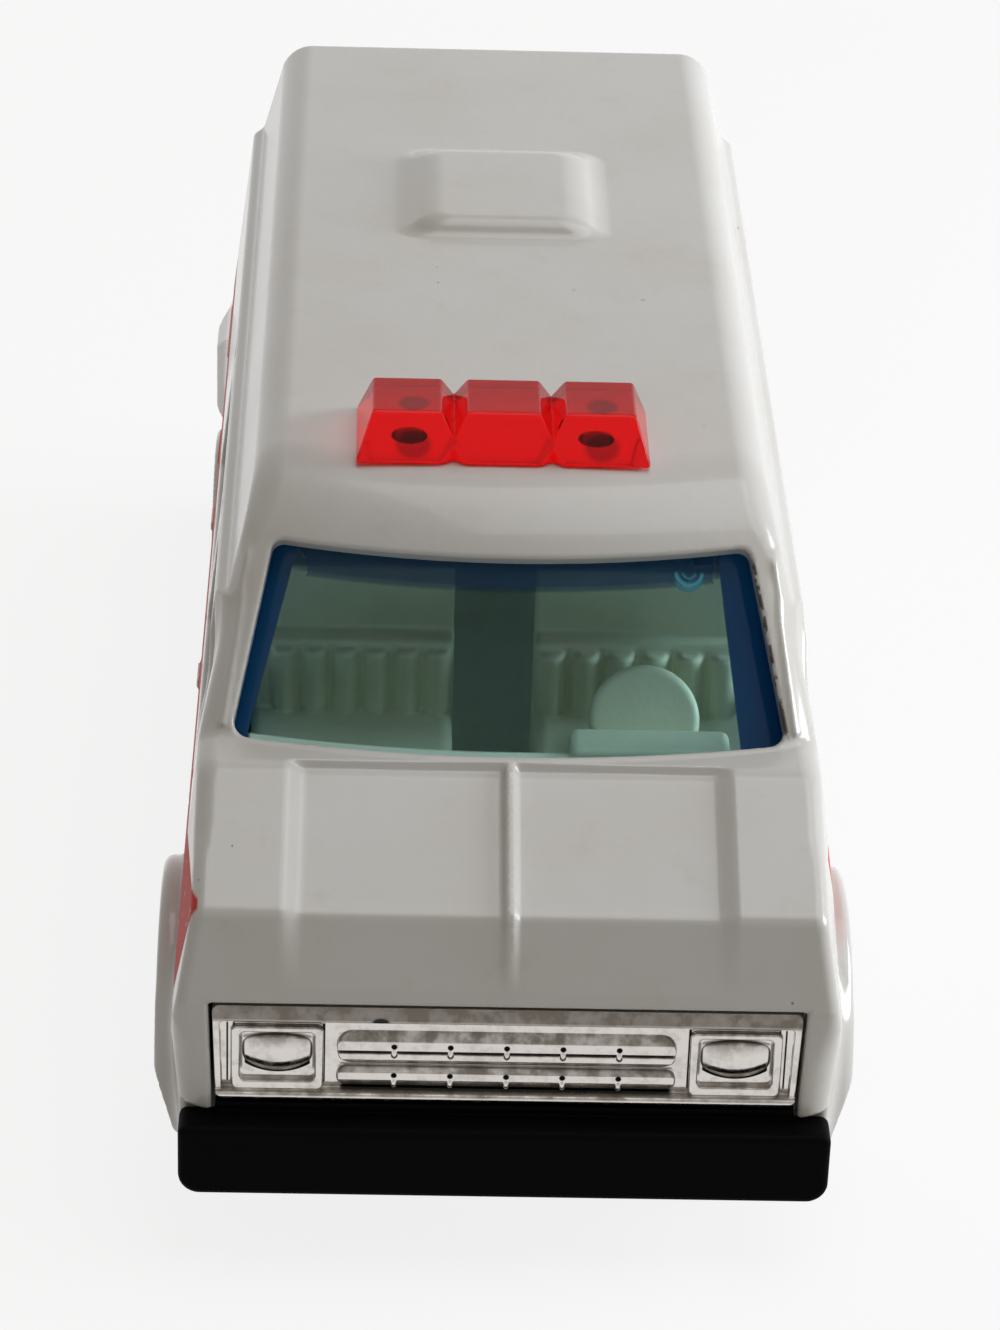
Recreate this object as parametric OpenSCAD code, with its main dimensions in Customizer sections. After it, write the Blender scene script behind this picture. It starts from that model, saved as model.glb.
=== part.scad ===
// Die-cast toy ambulance van, taken apart into its castings, mouldings, axles and wheels.
// Millimetres, +Z up, the nose towards -Y, the van's left side towards +X, wheels standing on z = 0.

/* [Overall] */
// Length over both bumpers
overall_l = 72.4; // [70:0.2:75]
// Width of the body at its widest line
body_w = 28.8; // [27.6:0.1:29.4]
// Height of the flat roof above the ground
roof_z = 28.5; // [28:0.1:30]
// Thickness of the casting's walls
wall = 1.2; // [0.9:0.05:1.4]
// Thickness of the casting's rear wall, which holds the door hinges
rear_wall = 2; // [1.8:0.1:2.4]

/* [Body section] */
// Width across the edges of the roof
roof_w = 22.4; // [21.4:0.1:23]
// Height of the raised roof above the rain gutter
raised_h = 5.2; // [4.6:0.1:5.8]
// How far the gutter line stands in from the widest line
gutter_in = 1.3; // [1:0.05:1.6]
// Width of the gutter ledge
gutter_ledge = 0.55; // [0.3:0.05:0.7]
// Height of the widest line above the ground
wide_z = 10.2; // [9:0.1:11]
// How far the sills tuck in under the widest line
sill_tuck = 0.5; // [0.2:0.05:0.8]
// Radius of the long roof edges
roof_edge_r = 1.2; // [0.8:0.05:1.6]

/* [Nose and windscreen] */
// How far the front bumper stands out past the casting
nose_proud = 1.3; // [1:0.05:1.6]
// How far the rear bumper stands out past the casting
tail_proud = 0.9; // [0.7:0.05:1.2]
// Height of the crease at the front of the bonnet
crease_z = 16.2; // [15.6:0.1:17]
// How far the crease stands back from the nose
crease_back = 1.6; // [1:0.1:2.4]
// Height of the top edge of the grille opening
grille_top_z = 12.35; // [11.8:0.05:13]
// How far the base of the windscreen stands back from the front bumper
screen_back = 10.6; // [10:0.1:11.4]
// Height of the base of the windscreen
cowl_z = 19.3; // [18.8:0.1:19.8]
// Rake of the windscreen from level, in degrees
screen_rake = 48.7; // [46:0.1:52]
// Radius of the brow between windscreen and roof
brow_r = 6.6; // [5:0.1:7.5]
// Radius of the windscreen's bow, seen from above
bow_r = 46; // [40:1:60]
// Depth of the two sunk panels on the bonnet
panel_depth = 0.35; // [0.2:0.05:0.5]
// Distance from the middle to the outer edge of a bonnet panel
panel_half = 9.2; // [8.6:0.1:9.8]
// Width of the spine between the bonnet panels
spine_w = 0.35; // [0.25:0.05:0.6]

/* [Windows] */
// Half width of the windscreen opening at its base
screen_half_low = 12.2; // [11.6:0.1:12.4]
// Half width of the windscreen opening at its top
screen_half_top = 10.6; // [10:0.1:10.7]
// Length of the windscreen opening up the slope
screen_len = 8.4; // [7.6:0.1:8.8]
// Height of the lower edge of the side windows
window_z = 17.4; // [17:0.1:18.4]
// Height of the side window openings
window_h = 4.7; // [4:0.1:5]
// Length of the front door's window along its lower edge
door_window_l = 12.6; // [11:0.1:13]
// Width of the pillar between the windows of one side
pillar_w = 2.6; // [2:0.1:3.4]
// Length of the rear side window
side_window_l = 13.5; // [11:0.5:16]
// Thickness of the tinted glazing
glass_t = 0.9; // [0.7:0.05:1.1]

/* [Light bar and hatch] */
// Height of the light bar above the roof
bar_h = 2.1; // [1.6:0.1:2.5]
// Length of the light bar across the roof
bar_w = 13.2; // [12:0.1:14]
// Depth of the light bar along the roof
bar_d = 5.8; // [5:0.1:6.4]
// Distance from the front bumper to the front of the light bar
bar_back = 20.7; // [20.2:0.1:22]
// Sideways seat of the light bar
bar_shift = -0.4; // [-0.5:0.05:0.5]
// Distance between the light bar's two pegs
peg_pitch = 8.4; // [7.6:0.1:9]
// Diameter of the pegs
peg_d = 1.6; // [1.2:0.1:2]
// Length of the roof hatch
hatch_l = 10.8; // [9:0.1:12]
// Width of the roof hatch
hatch_w = 9.8; // [8:0.1:11]
// Height of the roof hatch
hatch_h = 0.8; // [0.5:0.05:1.1]
// Distance from the rear bumper to the back of the hatch
hatch_back = 15.8; // [14:0.1:18]

/* [Wheels and axles] */
// Diameter over the tyre
wheel_d = 10.6; // [10:0.1:11]
// Width of the tyre
tyre_w = 3.5; // [3:0.1:3.7]
// Diameter of the plated hub
hub_d = 6.8; // [6:0.1:7.4]
// Distance between the axles
wheelbase = 44.5; // [43:0.5:46]
// Distance from the front bumper to the front axle
front_overhang = 11; // [10.8:0.1:11.6]
// How much wider a pair of tyres is, over its outer faces, than the body
track_out = 0.2; // [0:0.1:0.4]
// Diameter of the axle wire
axle_d = 1.2; // [1:0.1:1.4]
// Upward travel of each axle on its spring
travel = 0.6; // [0.3:0.1:0.7]
// Gap between the tyre and the edge of its wheel arch
arch_gap = 1.05; // [0.95:0.05:1.3]
// How far the front arch flares stand out past the widest line
flare_proud = 0.8; // [0.5:0.05:1]
// Width of the flare around the front arch
flare_w = 1.05; // [0.8:0.05:1.3]

/* [Base, doors and fits] */
// Height of the base's underside above the ground
base_z = 3.6; // [3.4:0.1:3.8]
// Thickness of the base
base_t = 1; // [0.8:0.05:1.1]
// Height of the top of the bumpers above the ground
bumper_top_z = 7.05; // [6.8:0.05:7.3]
// Half width of the opening for the rear doors
door_half = 11; // [10.4:0.1:11.2]
// Height of the top of the rear door opening
door_top_z = 25.2; // [24.4:0.1:25.6]
// Height of the sill under the rear doors
door_sill_z = 8.3; // [8.1:0.1:9]
// Thickness of the rear doors
door_t = 1.2; // [1:0.05:1.3]
// Diameter of the door hinge pins
pin_d = 0.9; // [0.7:0.05:1]
// Running clearance between a shaft and its hole, on the radius
run_gap = 0.05; // [0.03:0.01:0.08]
// Gap between parts that are fitted together
fit_gap = 0.15; // [0.08:0.01:0.2]

/* [Hidden] */
$fn = 64;

paint_white = [0.91, 0.9, 0.88];
glass_blue = [0.1, 0.35, 0.5, 0.6];
lamp_red = [0.8, 0.05, 0.06, 0.8];
plated = [0.82, 0.83, 0.85];
cream = [0.85, 0.87, 0.76];
base_black = [0.06, 0.06, 0.07];
steel = [0.62, 0.63, 0.65];
tyre_black = [0.08, 0.08, 0.08];

arc_steps = 6;     // flats along a rounded corner
far = 60;          // longer than any cut needs to be
over = 0.5;        // how far a cut runs past the surface it cuts, or a piece into the one it joins

// The ends of the van and of its casting, and the levels of the casting
front_y = -overall_l / 2;
rear_y = overall_l / 2;
nose_y = front_y + nose_proud;
tail_y = rear_y - tail_proud;
half_w = body_w / 2;
sill_z = base_z + base_t;
gutter_z = roof_z - raised_h;

// Nose and windscreen lines
grille_lean = 0.3;
cowl_shelf = 0.6;
crease_y = nose_y + crease_back;
grille_top_y = nose_y + grille_lean;
screen_y = front_y + screen_back;
cowl_y = screen_y - cowl_shelf;
bow_y = screen_y + bow_r;
screen_slope = 1 / tan(screen_rake);
brow_y = screen_y + (roof_z - cowl_z) * screen_slope;

// Wheels and axles
hub_proud = 0.2;   // of the tyre, towards the middle of the van
wheel_r = wheel_d / 2;
axle_r = axle_d / 2;
axle_z = wheel_r;
front_axle_y = front_y + front_overhang;
rear_axle_y = front_axle_y + wheelbase;
arch_r = wheel_r + arch_gap;
tyre_out_x = (body_w + track_out) / 2;
tyre_in_x = tyre_out_x - tyre_w;
hub_in_x = tyre_in_x - hub_proud;

// Levels and places that the base, the axles and the tub share
side_gap = 0.3;    // between a wheel and the bearing block beside it
bearing_out_x = hub_in_x - side_gap;
bearing_w = 1.1;
bearing_l = 4;
axle_room = 0.9;   // above a raised axle, under the tub
tub_z = axle_z + axle_r + travel + axle_room;
bumper_d = 1.9;
bumper_gap = 0.1;
lower_cut_z = bumper_top_z + bumper_gap;
rivet_r = 0.9;
rivet_head_r = 1.7;
rivet_head_t = 0.5;
rivet_l = 2.8;
post_r = 1.6;
front_post_back = 4;
rear_post_in = 1.5;
post_front_y = crease_y + front_post_back;
post_rear_y = tail_y - rear_wall - rear_post_in;

// Rear doors: the hinge axis lies in the middle of the door's thickness
door_gap = 0.2;
door_sunk = 0.1;
door_y = tail_y - door_sunk;
hinge_y = door_y - door_t / 2;
hinge_x = door_half - door_t / 2 - fit_gap;
door_low_z = door_sill_z + door_gap;
door_high_z = door_top_z - door_gap;
pin_r = pin_d / 2;
pin_l = 0.9;

function unit(v) = v / norm(v);
function flat(p) = [p.x, p.y];
function left_of(v) = [-v.y, v.x];
function inner_corner(b, n1, n2, d) = b + d * (n1 + n2) / (1 + n1 * n2);

// The corner list [[x, y, radius], ...] as an outline with each corner rounded by its radius
function corner_arc(a, b, c, r) =
    let (u = unit(a - b), w = unit(c - b), half = acos(max(-1, min(1, u * w))) / 2)
    let (centre = b + unit(u + w) * r / sin(half), start = b + u * r / tan(half) - centre)
    let (sweep = (180 - 2 * half) * sign(cross(b - a, c - b)), from = atan2(start.y, start.x))
    [for (i = [0:arc_steps]) let (t = from + sweep * i / arc_steps) centre + r * [cos(t), sin(t)]];
function rounded(corners) =
    let (n = len(corners))
    [for (i = [0:n - 1])
        let (a = flat(corners[(i + n - 1) % n]), b = flat(corners[i]), c = flat(corners[(i + 1) % n]))
        each corners[i][2] > 0.01 ? corner_arc(a, b, c, corners[i][2]) : [b]];

// An anticlockwise corner list moved in by d, with the radii following
function moved_in(corners, d) =
    let (n = len(corners))
    [for (i = [0:n - 1])
        let (a = flat(corners[(i + n - 1) % n]), b = flat(corners[i]), c = flat(corners[(i + 1) % n]))
        let (p = inner_corner(b, left_of(unit(b - a)), left_of(unit(c - b)), d))
        let (r = corners[i][2], hollow = cross(b - a, c - b) < 0)
        [p.x, p.y, hollow ? r + d : max(0, r - d)]];

// The right half of a corner list, anticlockwise, with its mirror image added
function both_halves(right) =
    concat(right, [for (i = [len(right) - 1:-1:0]) [-right[i].x, right[i].y, right[i][2]]]);
function box_corners(x0, y0, x1, y1, r) = [[x0, y0, r], [x1, y0, r], [x1, y1, r], [x0, y1, r]];

module along_x(x0, x1) { translate([x0, 0, 0]) rotate([90, 0, 90]) linear_extrude(x1 - x0) children(); }
module along_y(y0, y1) { translate([0, y1, 0]) rotate([90, 0, 0]) linear_extrude(y1 - y0) children(); }
module along_z(z0, z1) { translate([0, 0, z0]) linear_extrude(z1 - z0) children(); }
module outline(corners) { polygon(rounded(corners)); }
module box(low, high) { translate(low) cube(high - low); }
module post(x, y, z0, z1, r) { translate([x, y, z0]) cylinder(h = z1 - z0, r = r); }
module rod_x(x0, x1, r) { translate([x0, 0, 0]) rotate([0, 90, 0]) cylinder(h = x1 - x0, r = r); }
module ring_x() { rotate([0, 90, 0]) rotate_extrude() children(); }
module both_sides() { children(); mirror([1, 0, 0]) children(); }
module on_side(side) { mirror([side > 0 ? 0 : 1, 0, 0]) children(); }
module at_axle(y) { translate([0, y, axle_z]) children(); }
module at_axles() { for (y = [front_axle_y, rear_axle_y]) at_axle(y) children(); }

// Outer form of the casting, or the same form moved in by d
section_drop = 6;  // how far the hollow form runs on below the sills
belt_rise = 4.3;
belt_in = 0.25;
side_r = 4;
ledge_rise = 0.4;
gutter_r = 0.25;
nose_taper = 0.9;
nose_taper_l = 7;
plan_out = 0.1;
nose_r = 1.4;
taper_r = 12;
tail_r = 1.6;
cowl_r = 0.5;
crease_r = 0.8;
roof_rise = 0.6;
function section(d) = moved_in(both_halves([
    [half_w - sill_tuck, d > 0 ? sill_z - section_drop : sill_z, 0],
    [half_w, wide_z, side_r],
    [half_w - belt_in, wide_z + belt_rise, side_r],
    [half_w - gutter_in, gutter_z, gutter_r],
    [half_w - gutter_in - gutter_ledge, gutter_z + ledge_rise, gutter_r],
    [roof_w / 2, roof_z, roof_edge_r]]), d);
function plan_outline(d) = moved_in(both_halves([
    [half_w - nose_taper, nose_y, nose_r],
    [half_w + plan_out, nose_y + nose_taper_l, taper_r],
    [half_w + plan_out, tail_y, tail_r]]), d);
function lower_profile(d) = moved_in([
    [nose_y, -section_drop, 0],
    [tail_y + far, -section_drop, 0],
    [tail_y + far, cowl_z, 0],
    [cowl_y, cowl_z, cowl_r],
    [crease_y, crease_z, crease_r],
    [grille_top_y, grille_top_z, 0],
    [nose_y, bumper_top_z, 0]], d);
function cabin_profile(d) =
    let (low_z = cowl_z - 2 * section_drop, low_r = bow_r + (cowl_z - low_z) * screen_slope)
    [for (p = rounded(moved_in([
        [-section_drop, low_z, 0],
        [low_r, low_z, 0],
        [bow_y - brow_y, roof_z, brow_r],
        [-section_drop, roof_z + roof_rise, 0]], d))) [max(0, p.x), p.y]];

module loaf(d) {
    intersection() {
        along_y(nose_y - over, tail_y + over) outline(section(d));
        along_z(-section_drop, roof_z + over) outline(plan_outline(d));
    }
}
module cabin(d) { translate([0, bow_y, 0]) rotate_extrude() polygon(cabin_profile(d)); }
module cabin_form(d) {
    intersection() {
        loaf(d);
        cabin(d);
    }
}
module body_form(d) {
    intersection() {
        loaf(d);
        union() {
            along_x(-far, far) outline(lower_profile(d));
            cabin(d);
        }
    }
}

// Windscreen opening: both long edges bow, and the corners are rounded
screen_bow_low = 1;
screen_bow_top = 0.85;
screen_low = 0.2;
screen_top = screen_low + screen_len;
screen_corner_r = 0.8;
screen_cut_t = 3;
bow_steps = 8;
function bowed_edge(half, v, bow) =
    [for (i = [1:bow_steps - 1]) let (t = 2 * i / bow_steps - 1) [half * t, v + bow * t * t, 0]];
function screen_outline() = concat(
    [[-screen_half_low, screen_low + screen_bow_low, screen_corner_r]],
    bowed_edge(screen_half_low, screen_low, screen_bow_low),
    [[screen_half_low, screen_low + screen_bow_low, screen_corner_r]],
    [[screen_half_top, screen_top + screen_bow_top, screen_corner_r]],
    bowed_edge(-screen_half_top, screen_top, screen_bow_top),
    [[-screen_half_top, screen_top + screen_bow_top, screen_corner_r]]);
module screen_cut() {
    translate([0, screen_y, cowl_z]) rotate([screen_rake, 0, 0])
        along_z(-screen_cut_t, screen_cut_t) outline(screen_outline());
}

// Side windows: the front door's follows the slope of the windscreen
window_r = 0.8;
screen_pillar = 1.5;
door_window_front = screen_y + half_w * half_w / (2 * bow_r) + screen_pillar;
door_window_rear = door_window_front + door_window_l;
side_window_front = door_window_rear + pillar_w;
side_window_rear = side_window_front + side_window_l;
module side_window_cut() {
    along_x(-far, far) {
        outline([
            [door_window_front, window_z, window_r],
            [door_window_rear, window_z, window_r],
            [door_window_rear, window_z + window_h, window_r],
            [door_window_front + window_h * screen_slope, window_z + window_h, window_r]]);
        outline(box_corners(side_window_front, window_z, side_window_rear, window_z + window_h, window_r));
    }
}

// Opening for the plated nose piece, open towards the bumper
grille_in_top = 1.65;
grille_in_low = 1.8;
grille_up = 0.45;
grille_half_top = half_w - grille_in_top;
grille_half_low = half_w - grille_in_low;
grille_low_z = bumper_top_z + grille_up;
grille_r = 0.3;
module grille_cut() {
    along_y(nose_y - over, nose_y + wall + 2 * over) outline(both_halves([
        [grille_half_low, -over, 0],
        [grille_half_low, grille_low_z, 0],
        [grille_half_top, grille_top_z, grille_r]]));
}

// Two sunk panels on the bonnet, fading out on the slope above the grille
panel_lip = 0.7;
panel_fade = 3.2;
module bonnet_panel_cut() {
    cowl = [cowl_y, cowl_z];
    crease = [crease_y, crease_z];
    bonnet_line = unit(crease - cowl);
    nose_line = unit([grille_top_y, grille_top_z] - crease);
    bonnet_in = left_of(bonnet_line);
    nose_in = left_of(nose_line);
    start = cowl + bonnet_line * panel_lip;
    fade = crease + nose_line * panel_fade;
    both_sides() along_x(spine_w / 2, panel_half) polygon([
        start - bonnet_in, start + bonnet_in * panel_depth,
        inner_corner(crease, bonnet_in, nose_in, panel_depth),
        fade, fade - nose_in, crease - bonnet_in - nose_in]);
}

// Band around a wheel arch that stands out past the body side and tucks in towards the sill
band_tuck_drop = 2.8;
band_tuck_z = wide_z - band_tuck_drop;
band_tuck_r = 2;
band_edge_r = 0.7;
lip_w = 0.6;
lip_proud = 0.2;
module arch_band(y, width, proud) {
    out_x = half_w + proud;
    both_sides() intersection() {
        at_axle(y) ring_x() outline([
            [arch_r - over, half_w - wall, 0],
            [arch_r + width, half_w - wall, 0],
            [arch_r + width, out_x, band_edge_r * min(1, width)],
            [arch_r - over, out_x, 0]]);
        along_y(y - far, y + far) outline([
            [0, sill_z, 0],
            [half_w - sill_tuck, sill_z, 0],
            [out_x, band_tuck_z, band_tuck_r],
            [out_x, roof_z, 0],
            [0, roof_z, 0]]);
    }
}
module wheel_arch_cut() { at_axles() both_sides() rod_x(bearing_out_x, far, arch_r); }

// Tail lamp moulded round the rear corner, its front and top fading into the side
lamp_block_l = 4.6;
lamp_block_up = 0.5;
lamp_block_low_z = bumper_top_z + lamp_block_up;
lamp_block_h = 5.8;
lamp_block_proud = 0.65;
lamp_block_fade = 1.8;
lamp_block_r = 0.8;
module rear_lamp_block() {
    in_x = half_w - wall;
    out_x = half_w + lamp_block_proud;
    front = tail_y - lamp_block_l;
    top_z = lamp_block_low_z + lamp_block_h;
    intersection() {
        along_z(lamp_block_low_z, top_z) outline([
            [in_x, front, 0],
            [half_w, front, 0],
            [out_x, front + lamp_block_fade, lamp_block_r],
            [out_x, tail_y, lamp_block_r],
            [in_x, tail_y, 0]]);
        along_y(front, tail_y) outline([
            [in_x, lamp_block_low_z, 0],
            [out_x, lamp_block_low_z, lamp_block_r / 2],
            [out_x, top_z - lamp_block_fade, lamp_block_r],
            [half_w - belt_in, top_z, 0],
            [in_x, top_z, 0]]);
    }
}

hatch_slope = 1.4;
hatch_sink = 0.2;
module roof_hatch() {
    y1 = rear_y - hatch_back;
    y0 = y1 - hatch_l;
    z0 = roof_z - hatch_sink;
    z1 = roof_z + hatch_h;
    intersection() {
        along_y(y0, y1) outline(both_halves([[hatch_w / 2, z0, 0], [hatch_w / 2 - hatch_slope, z1, 0]]));
        along_x(-hatch_w, hatch_w)
            polygon([[y0, z0], [y1, z0], [y1 - hatch_slope, z1], [y0 + hatch_slope, z1]]);
    }
}

// Doorway at the back, with a hole for each hinge pin drilled up through sill and lintel
module door_opening_cut() {
    box([-door_half, tail_y - rear_wall - over, door_sill_z], [door_half, tail_y + over, door_top_z]);
    both_sides() post(hinge_x, hinge_y, lower_cut_z - over, door_top_z + pin_l + fit_gap, pin_r + run_gap);
}

bar_y = front_y + bar_back;
module at_pegs() {
    for (side = [-1, 1]) translate([bar_shift + side * peg_pitch / 2, bar_y + bar_d / 2, 0]) children();
}

module bumper_room() {
    box([-far, nose_y - over, -over], [far, front_y + bumper_d + fit_gap, lower_cut_z]);
    box([-far, tail_y - rear_wall - over, -over], [far, tail_y + over, lower_cut_z]);
}

// The two posts that the base is riveted to: one under the bonnet, one in front of the rear wall
rear_post_drop = 0.3;
rear_post_top = door_sill_z - rear_post_drop;
rear_post_web = 3;
module fixing_posts() {
    intersection() {
        body_form(wall / 2);
        post(0, post_front_y, sill_z, cowl_z, post_r);
    }
    post(0, post_rear_y, sill_z, rear_post_top, post_r);
    box([-rear_post_web, post_rear_y, lower_cut_z], [rear_post_web, tail_y - over, rear_post_top]);
}

module body_shell() color(paint_white) difference() {
    union() {
        difference() {
            body_form(0);
            difference() {
                body_form(wall);
                box([-far, tail_y - rear_wall, -far], [far, far, far]);
            }
        }
        arch_band(front_axle_y, flare_w, flare_proud);
        arch_band(rear_axle_y, lip_w, lip_proud);
        both_sides() rear_lamp_block();
        roof_hatch();
        fixing_posts();
    }
    screen_cut();
    side_window_cut();
    grille_cut();
    bonnet_panel_cut();
    wheel_arch_cut();
    door_opening_cut();
    bumper_room();
    at_pegs() post(0, 0, roof_z - wall - over, roof_z + over, peg_d / 2 + run_gap);
    for (y = [post_front_y, post_rear_y])
        post(0, y, sill_z - over, sill_z + rivet_l + fit_gap, rivet_r + run_gap);
}

// One tinted moulding: windscreen, side panes and the roof panel that joins them
glass_gap = 0.05;
glass_lap = 1;
module glazing() color(glass_blue) difference() {
    intersection() {
        cabin_form(wall + glass_gap);
        box([-far, -far, window_z - glass_lap], [far, side_window_rear + glass_lap, far]);
    }
    cabin_form(wall + glass_gap + glass_t);
    at_pegs() post(0, 0, roof_z - far, roof_z, peg_d / 2 + fit_gap);
}

// Light bar: three lamp blocks with notches between them on top, in front and behind, on two pegs
bar_slope = 1.15;
bar_end_slope = 0.75;
bar_notch_half = 0.6;
bar_neck_h = bar_h / 2;
bar_block_top = 3.2;
bar_groove = 0.45;
peg_tail = 1;
module light_bar() color(lamp_red) {
    z1 = roof_z + bar_h;
    neck_x = bar_block_top / 2 + bar_notch_half;
    groove_half = bar_notch_half * (1 + over / bar_groove);
    translate([bar_shift, bar_y + bar_d / 2, 0]) difference() {
        intersection() {
            along_y(-bar_d / 2, bar_d / 2) outline(both_halves([
                [bar_w / 2, roof_z, 0],
                [bar_w / 2 - bar_end_slope, z1, 0],
                [neck_x + bar_notch_half, z1, 0],
                [neck_x, roof_z + bar_neck_h, 0],
                [bar_block_top / 2, z1, 0]]));
            along_x(-far, far) outline(both_halves([[bar_d / 2, roof_z, 0], [bar_d / 2 - bar_slope, z1, 0]]));
        }
        both_sides() for (end = [-1, 1]) along_z(roof_z - over, z1 + over) polygon([
            [neck_x - groove_half, end * (bar_d / 2 + over)],
            [neck_x + groove_half, end * (bar_d / 2 + over)],
            [neck_x, end * (bar_d / 2 - bar_groove)]]);
    }
    at_pegs() post(0, 0, roof_z - wall - glass_t - peg_tail, roof_z + over, peg_d / 2);
}

// Plated nose piece: a rim, two framed lamps and the ribbed bars between them
grille_t = 0.9;
grille_sunk = 0.3;
grille_y = grille_top_y + grille_sunk;
grille_rim = 0.35;
grille_relief = 0.3;
grille_mid_z = (grille_low_z + grille_top_z) / 2;
lamp_in = 2.75;
lamp_drop = 0.18;
lamp_x = grille_half_low - lamp_in;
lamp_z = grille_mid_z - lamp_drop;
lamp_frame = [3.9, 3.6];
lamp_lens = [2.9, 2.1];
lamp_groove = 0.2;
lamp_frame_r = 0.4;
lamp_lens_r = 0.8;
lamp_dome_r = 3.1;
lamp_dome_h = 0.5;
rib_r = 0.24;
rib_pair = [0.57, 0.09];
rib_drop = 1.48;
rib_gap = 0.5;
rib_half = lamp_x - lamp_frame.x / 2 - rib_gap;
tick_w = 0.24;
tick_lap = 0.14;
tick_share = 0.325;
tick_pitch = rib_half * tick_share;
module grille_trapezoid(d) {
    outline(moved_in(both_halves([
        [grille_half_low, grille_low_z, grille_r], [grille_half_top, grille_top_z, grille_r]]), d));
}
module lamp_plate(size, r) {
    half = size / 2;
    outline(box_corners(lamp_x - half.x, lamp_z - half.y, lamp_x + half.x, lamp_z + half.y, r));
}
module grille_lamp() {
    groove = [lamp_groove, lamp_groove];
    difference() {
        along_y(grille_y - grille_relief, grille_y + over) lamp_plate(lamp_frame, lamp_frame_r);
        along_y(grille_y - grille_relief - over, grille_y)
            lamp_plate(lamp_lens + 2 * groove, lamp_lens_r + lamp_groove);
    }
    intersection() {
        along_y(grille_y - lamp_dome_r, grille_y + over) lamp_plate(lamp_lens, lamp_lens_r);
        translate([lamp_x, grille_y - lamp_dome_h + lamp_dome_r, lamp_z]) sphere(r = lamp_dome_r);
    }
}
module grille_rib(z) {
    end = rib_half + rib_r;
    translate([0, grille_y, z]) ring_x() polygon([
        [0, -end], [rib_r / 2, -end], [rib_r, -rib_half], [rib_r, rib_half], [rib_r / 2, end], [0, end]]);
}
module grille_insert() color(plated) {
    difference() {
        along_y(grille_y - grille_relief, grille_y + grille_t) grille_trapezoid(fit_gap);
        along_y(grille_y - grille_relief - over, grille_y) grille_trapezoid(fit_gap + grille_rim);
    }
    both_sides() grille_lamp();
    for (drop = [0, rib_drop]) {
        for (rise = rib_pair) grille_rib(grille_mid_z + rise - drop);
        for (i = [-2:2]) translate([i * tick_pitch, grille_y, grille_mid_z - drop])
            box([-tick_w / 2, -grille_relief, rib_pair[1] - tick_lap],
                [tick_w / 2, over, rib_pair[0] + tick_lap]);
    }
}

// Cab and load floor in one moulding: seats, partition, dash and a solid steering wheel
tub_t = 0.8;
tub_gap = 0.05;
tub_half = bearing_out_x - tub_gap;
tub_back = 3.4;
tub_front_y = screen_y + tub_back;
tub_rear_y = post_rear_y - post_r - side_gap;
rail_t = 0.8;
rail_h = 2.4;
seat_back = 11.2;
seat_out = 0.35;
seat_y = screen_y + seat_back;
seat_half = tub_half + seat_out;
aisle_half = 1.85;
aisle_shift = -0.5;
seat_back_t = 1.2;
seat_back_drop = 0.3;
seat_back_z = cowl_z - seat_back_drop;
seat_edge_r = 0.6;
pleat_count = 6;
pleat_share = 0.42;
pleat_short = 0.4;
cushion_l = 4.6;
cushion_h = 8;
cushion_z = tub_z + cushion_h;
partition_t = 0.8;
rail_front_y = seat_y + seat_back_t + partition_t;
partition_rise = 2.9;
partition_z = cowl_z + partition_rise;
joint = 0.1;       // overlap of shapes that are one moulding
dash_drop = 1.4;
dash_z = cowl_z - dash_drop;
dash_l = 2.2;
shelf_drop = 2;
shelf_t = 0.8;
bulkhead_t = 0.8;
shelf_z = cowl_z - shelf_drop;
dash_in_x = 2.8;
dash_gap = 0.5;
dash_out_x = tub_half - dash_gap;
wheel_disc_r = 2.5;
wheel_disc_t = 0.8;
wheel_tilt = 55;
column_r = 0.8;
column_l = 2.6;
column_box_half = 1.4;
wheel_offset = [6.2, 7, -1.9];
wheel_centre = [0, screen_y, cowl_z] + wheel_offset;
module seat(aisle_x) {
    floor_z = tub_z + tub_t - joint;
    pleat_pitch = (seat_half - aisle_x) / pleat_count;
    back_y = seat_y + seat_back_t;
    box([aisle_x, seat_y, floor_z], [seat_half, back_y, seat_back_z]);
    for (i = [0:pleat_count - 1])
        post(aisle_x + (i + 0.5) * pleat_pitch, seat_y, cushion_z, seat_back_z - pleat_short,
            pleat_pitch * pleat_share);
    along_x(aisle_x, seat_half)
        outline(box_corners(seat_y - cushion_l, floor_z, seat_y + over, cushion_z, seat_edge_r));
    box([aisle_x, back_y - joint, floor_z], [seat_half, back_y + partition_t, partition_z]);
}
module steering_wheel() {
    translate(wheel_centre) rotate([wheel_tilt, 0, 0]) {
        cylinder(h = wheel_disc_t, r = wheel_disc_r);
        translate([0, 0, -column_l]) cylinder(h = column_l + wheel_disc_t / 2, r = column_r);
    }
    box([wheel_centre.x - column_box_half, tub_front_y + dash_l - joint, tub_z],
        [wheel_centre.x + column_box_half, wheel_centre.y + column_r, wheel_centre.z - column_l + joint]);
}
// Bulkhead in front of the seats, with a shelf that follows the bow of the windscreen
module bulkhead() {
    rear = tub_front_y + bulkhead_t;
    intersection() {
        cabin_form(wall + glass_gap + glass_t + tub_gap);
        union() {
            box([-tub_half, tub_front_y, tub_z], [tub_half, rear, shelf_z]);
            box([-tub_half, front_y, shelf_z - shelf_t], [tub_half, rear, shelf_z]);
        }
    }
}
module interior_tub() color(cream) {
    box([-tub_half, tub_front_y, tub_z], [tub_half, tub_rear_y, tub_z + tub_t]);
    bulkhead();
    for (side = [-1, 1]) on_side(side) {
        box([tub_half - rail_t, rail_front_y, tub_z], [tub_half, tub_rear_y, tub_z + rail_h]);
        seat(aisle_half + side * aisle_shift);
    }
    box([dash_in_x, tub_front_y, tub_z], [dash_out_x, tub_front_y + dash_l, dash_z]);
    steering_wheel();
}

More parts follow.
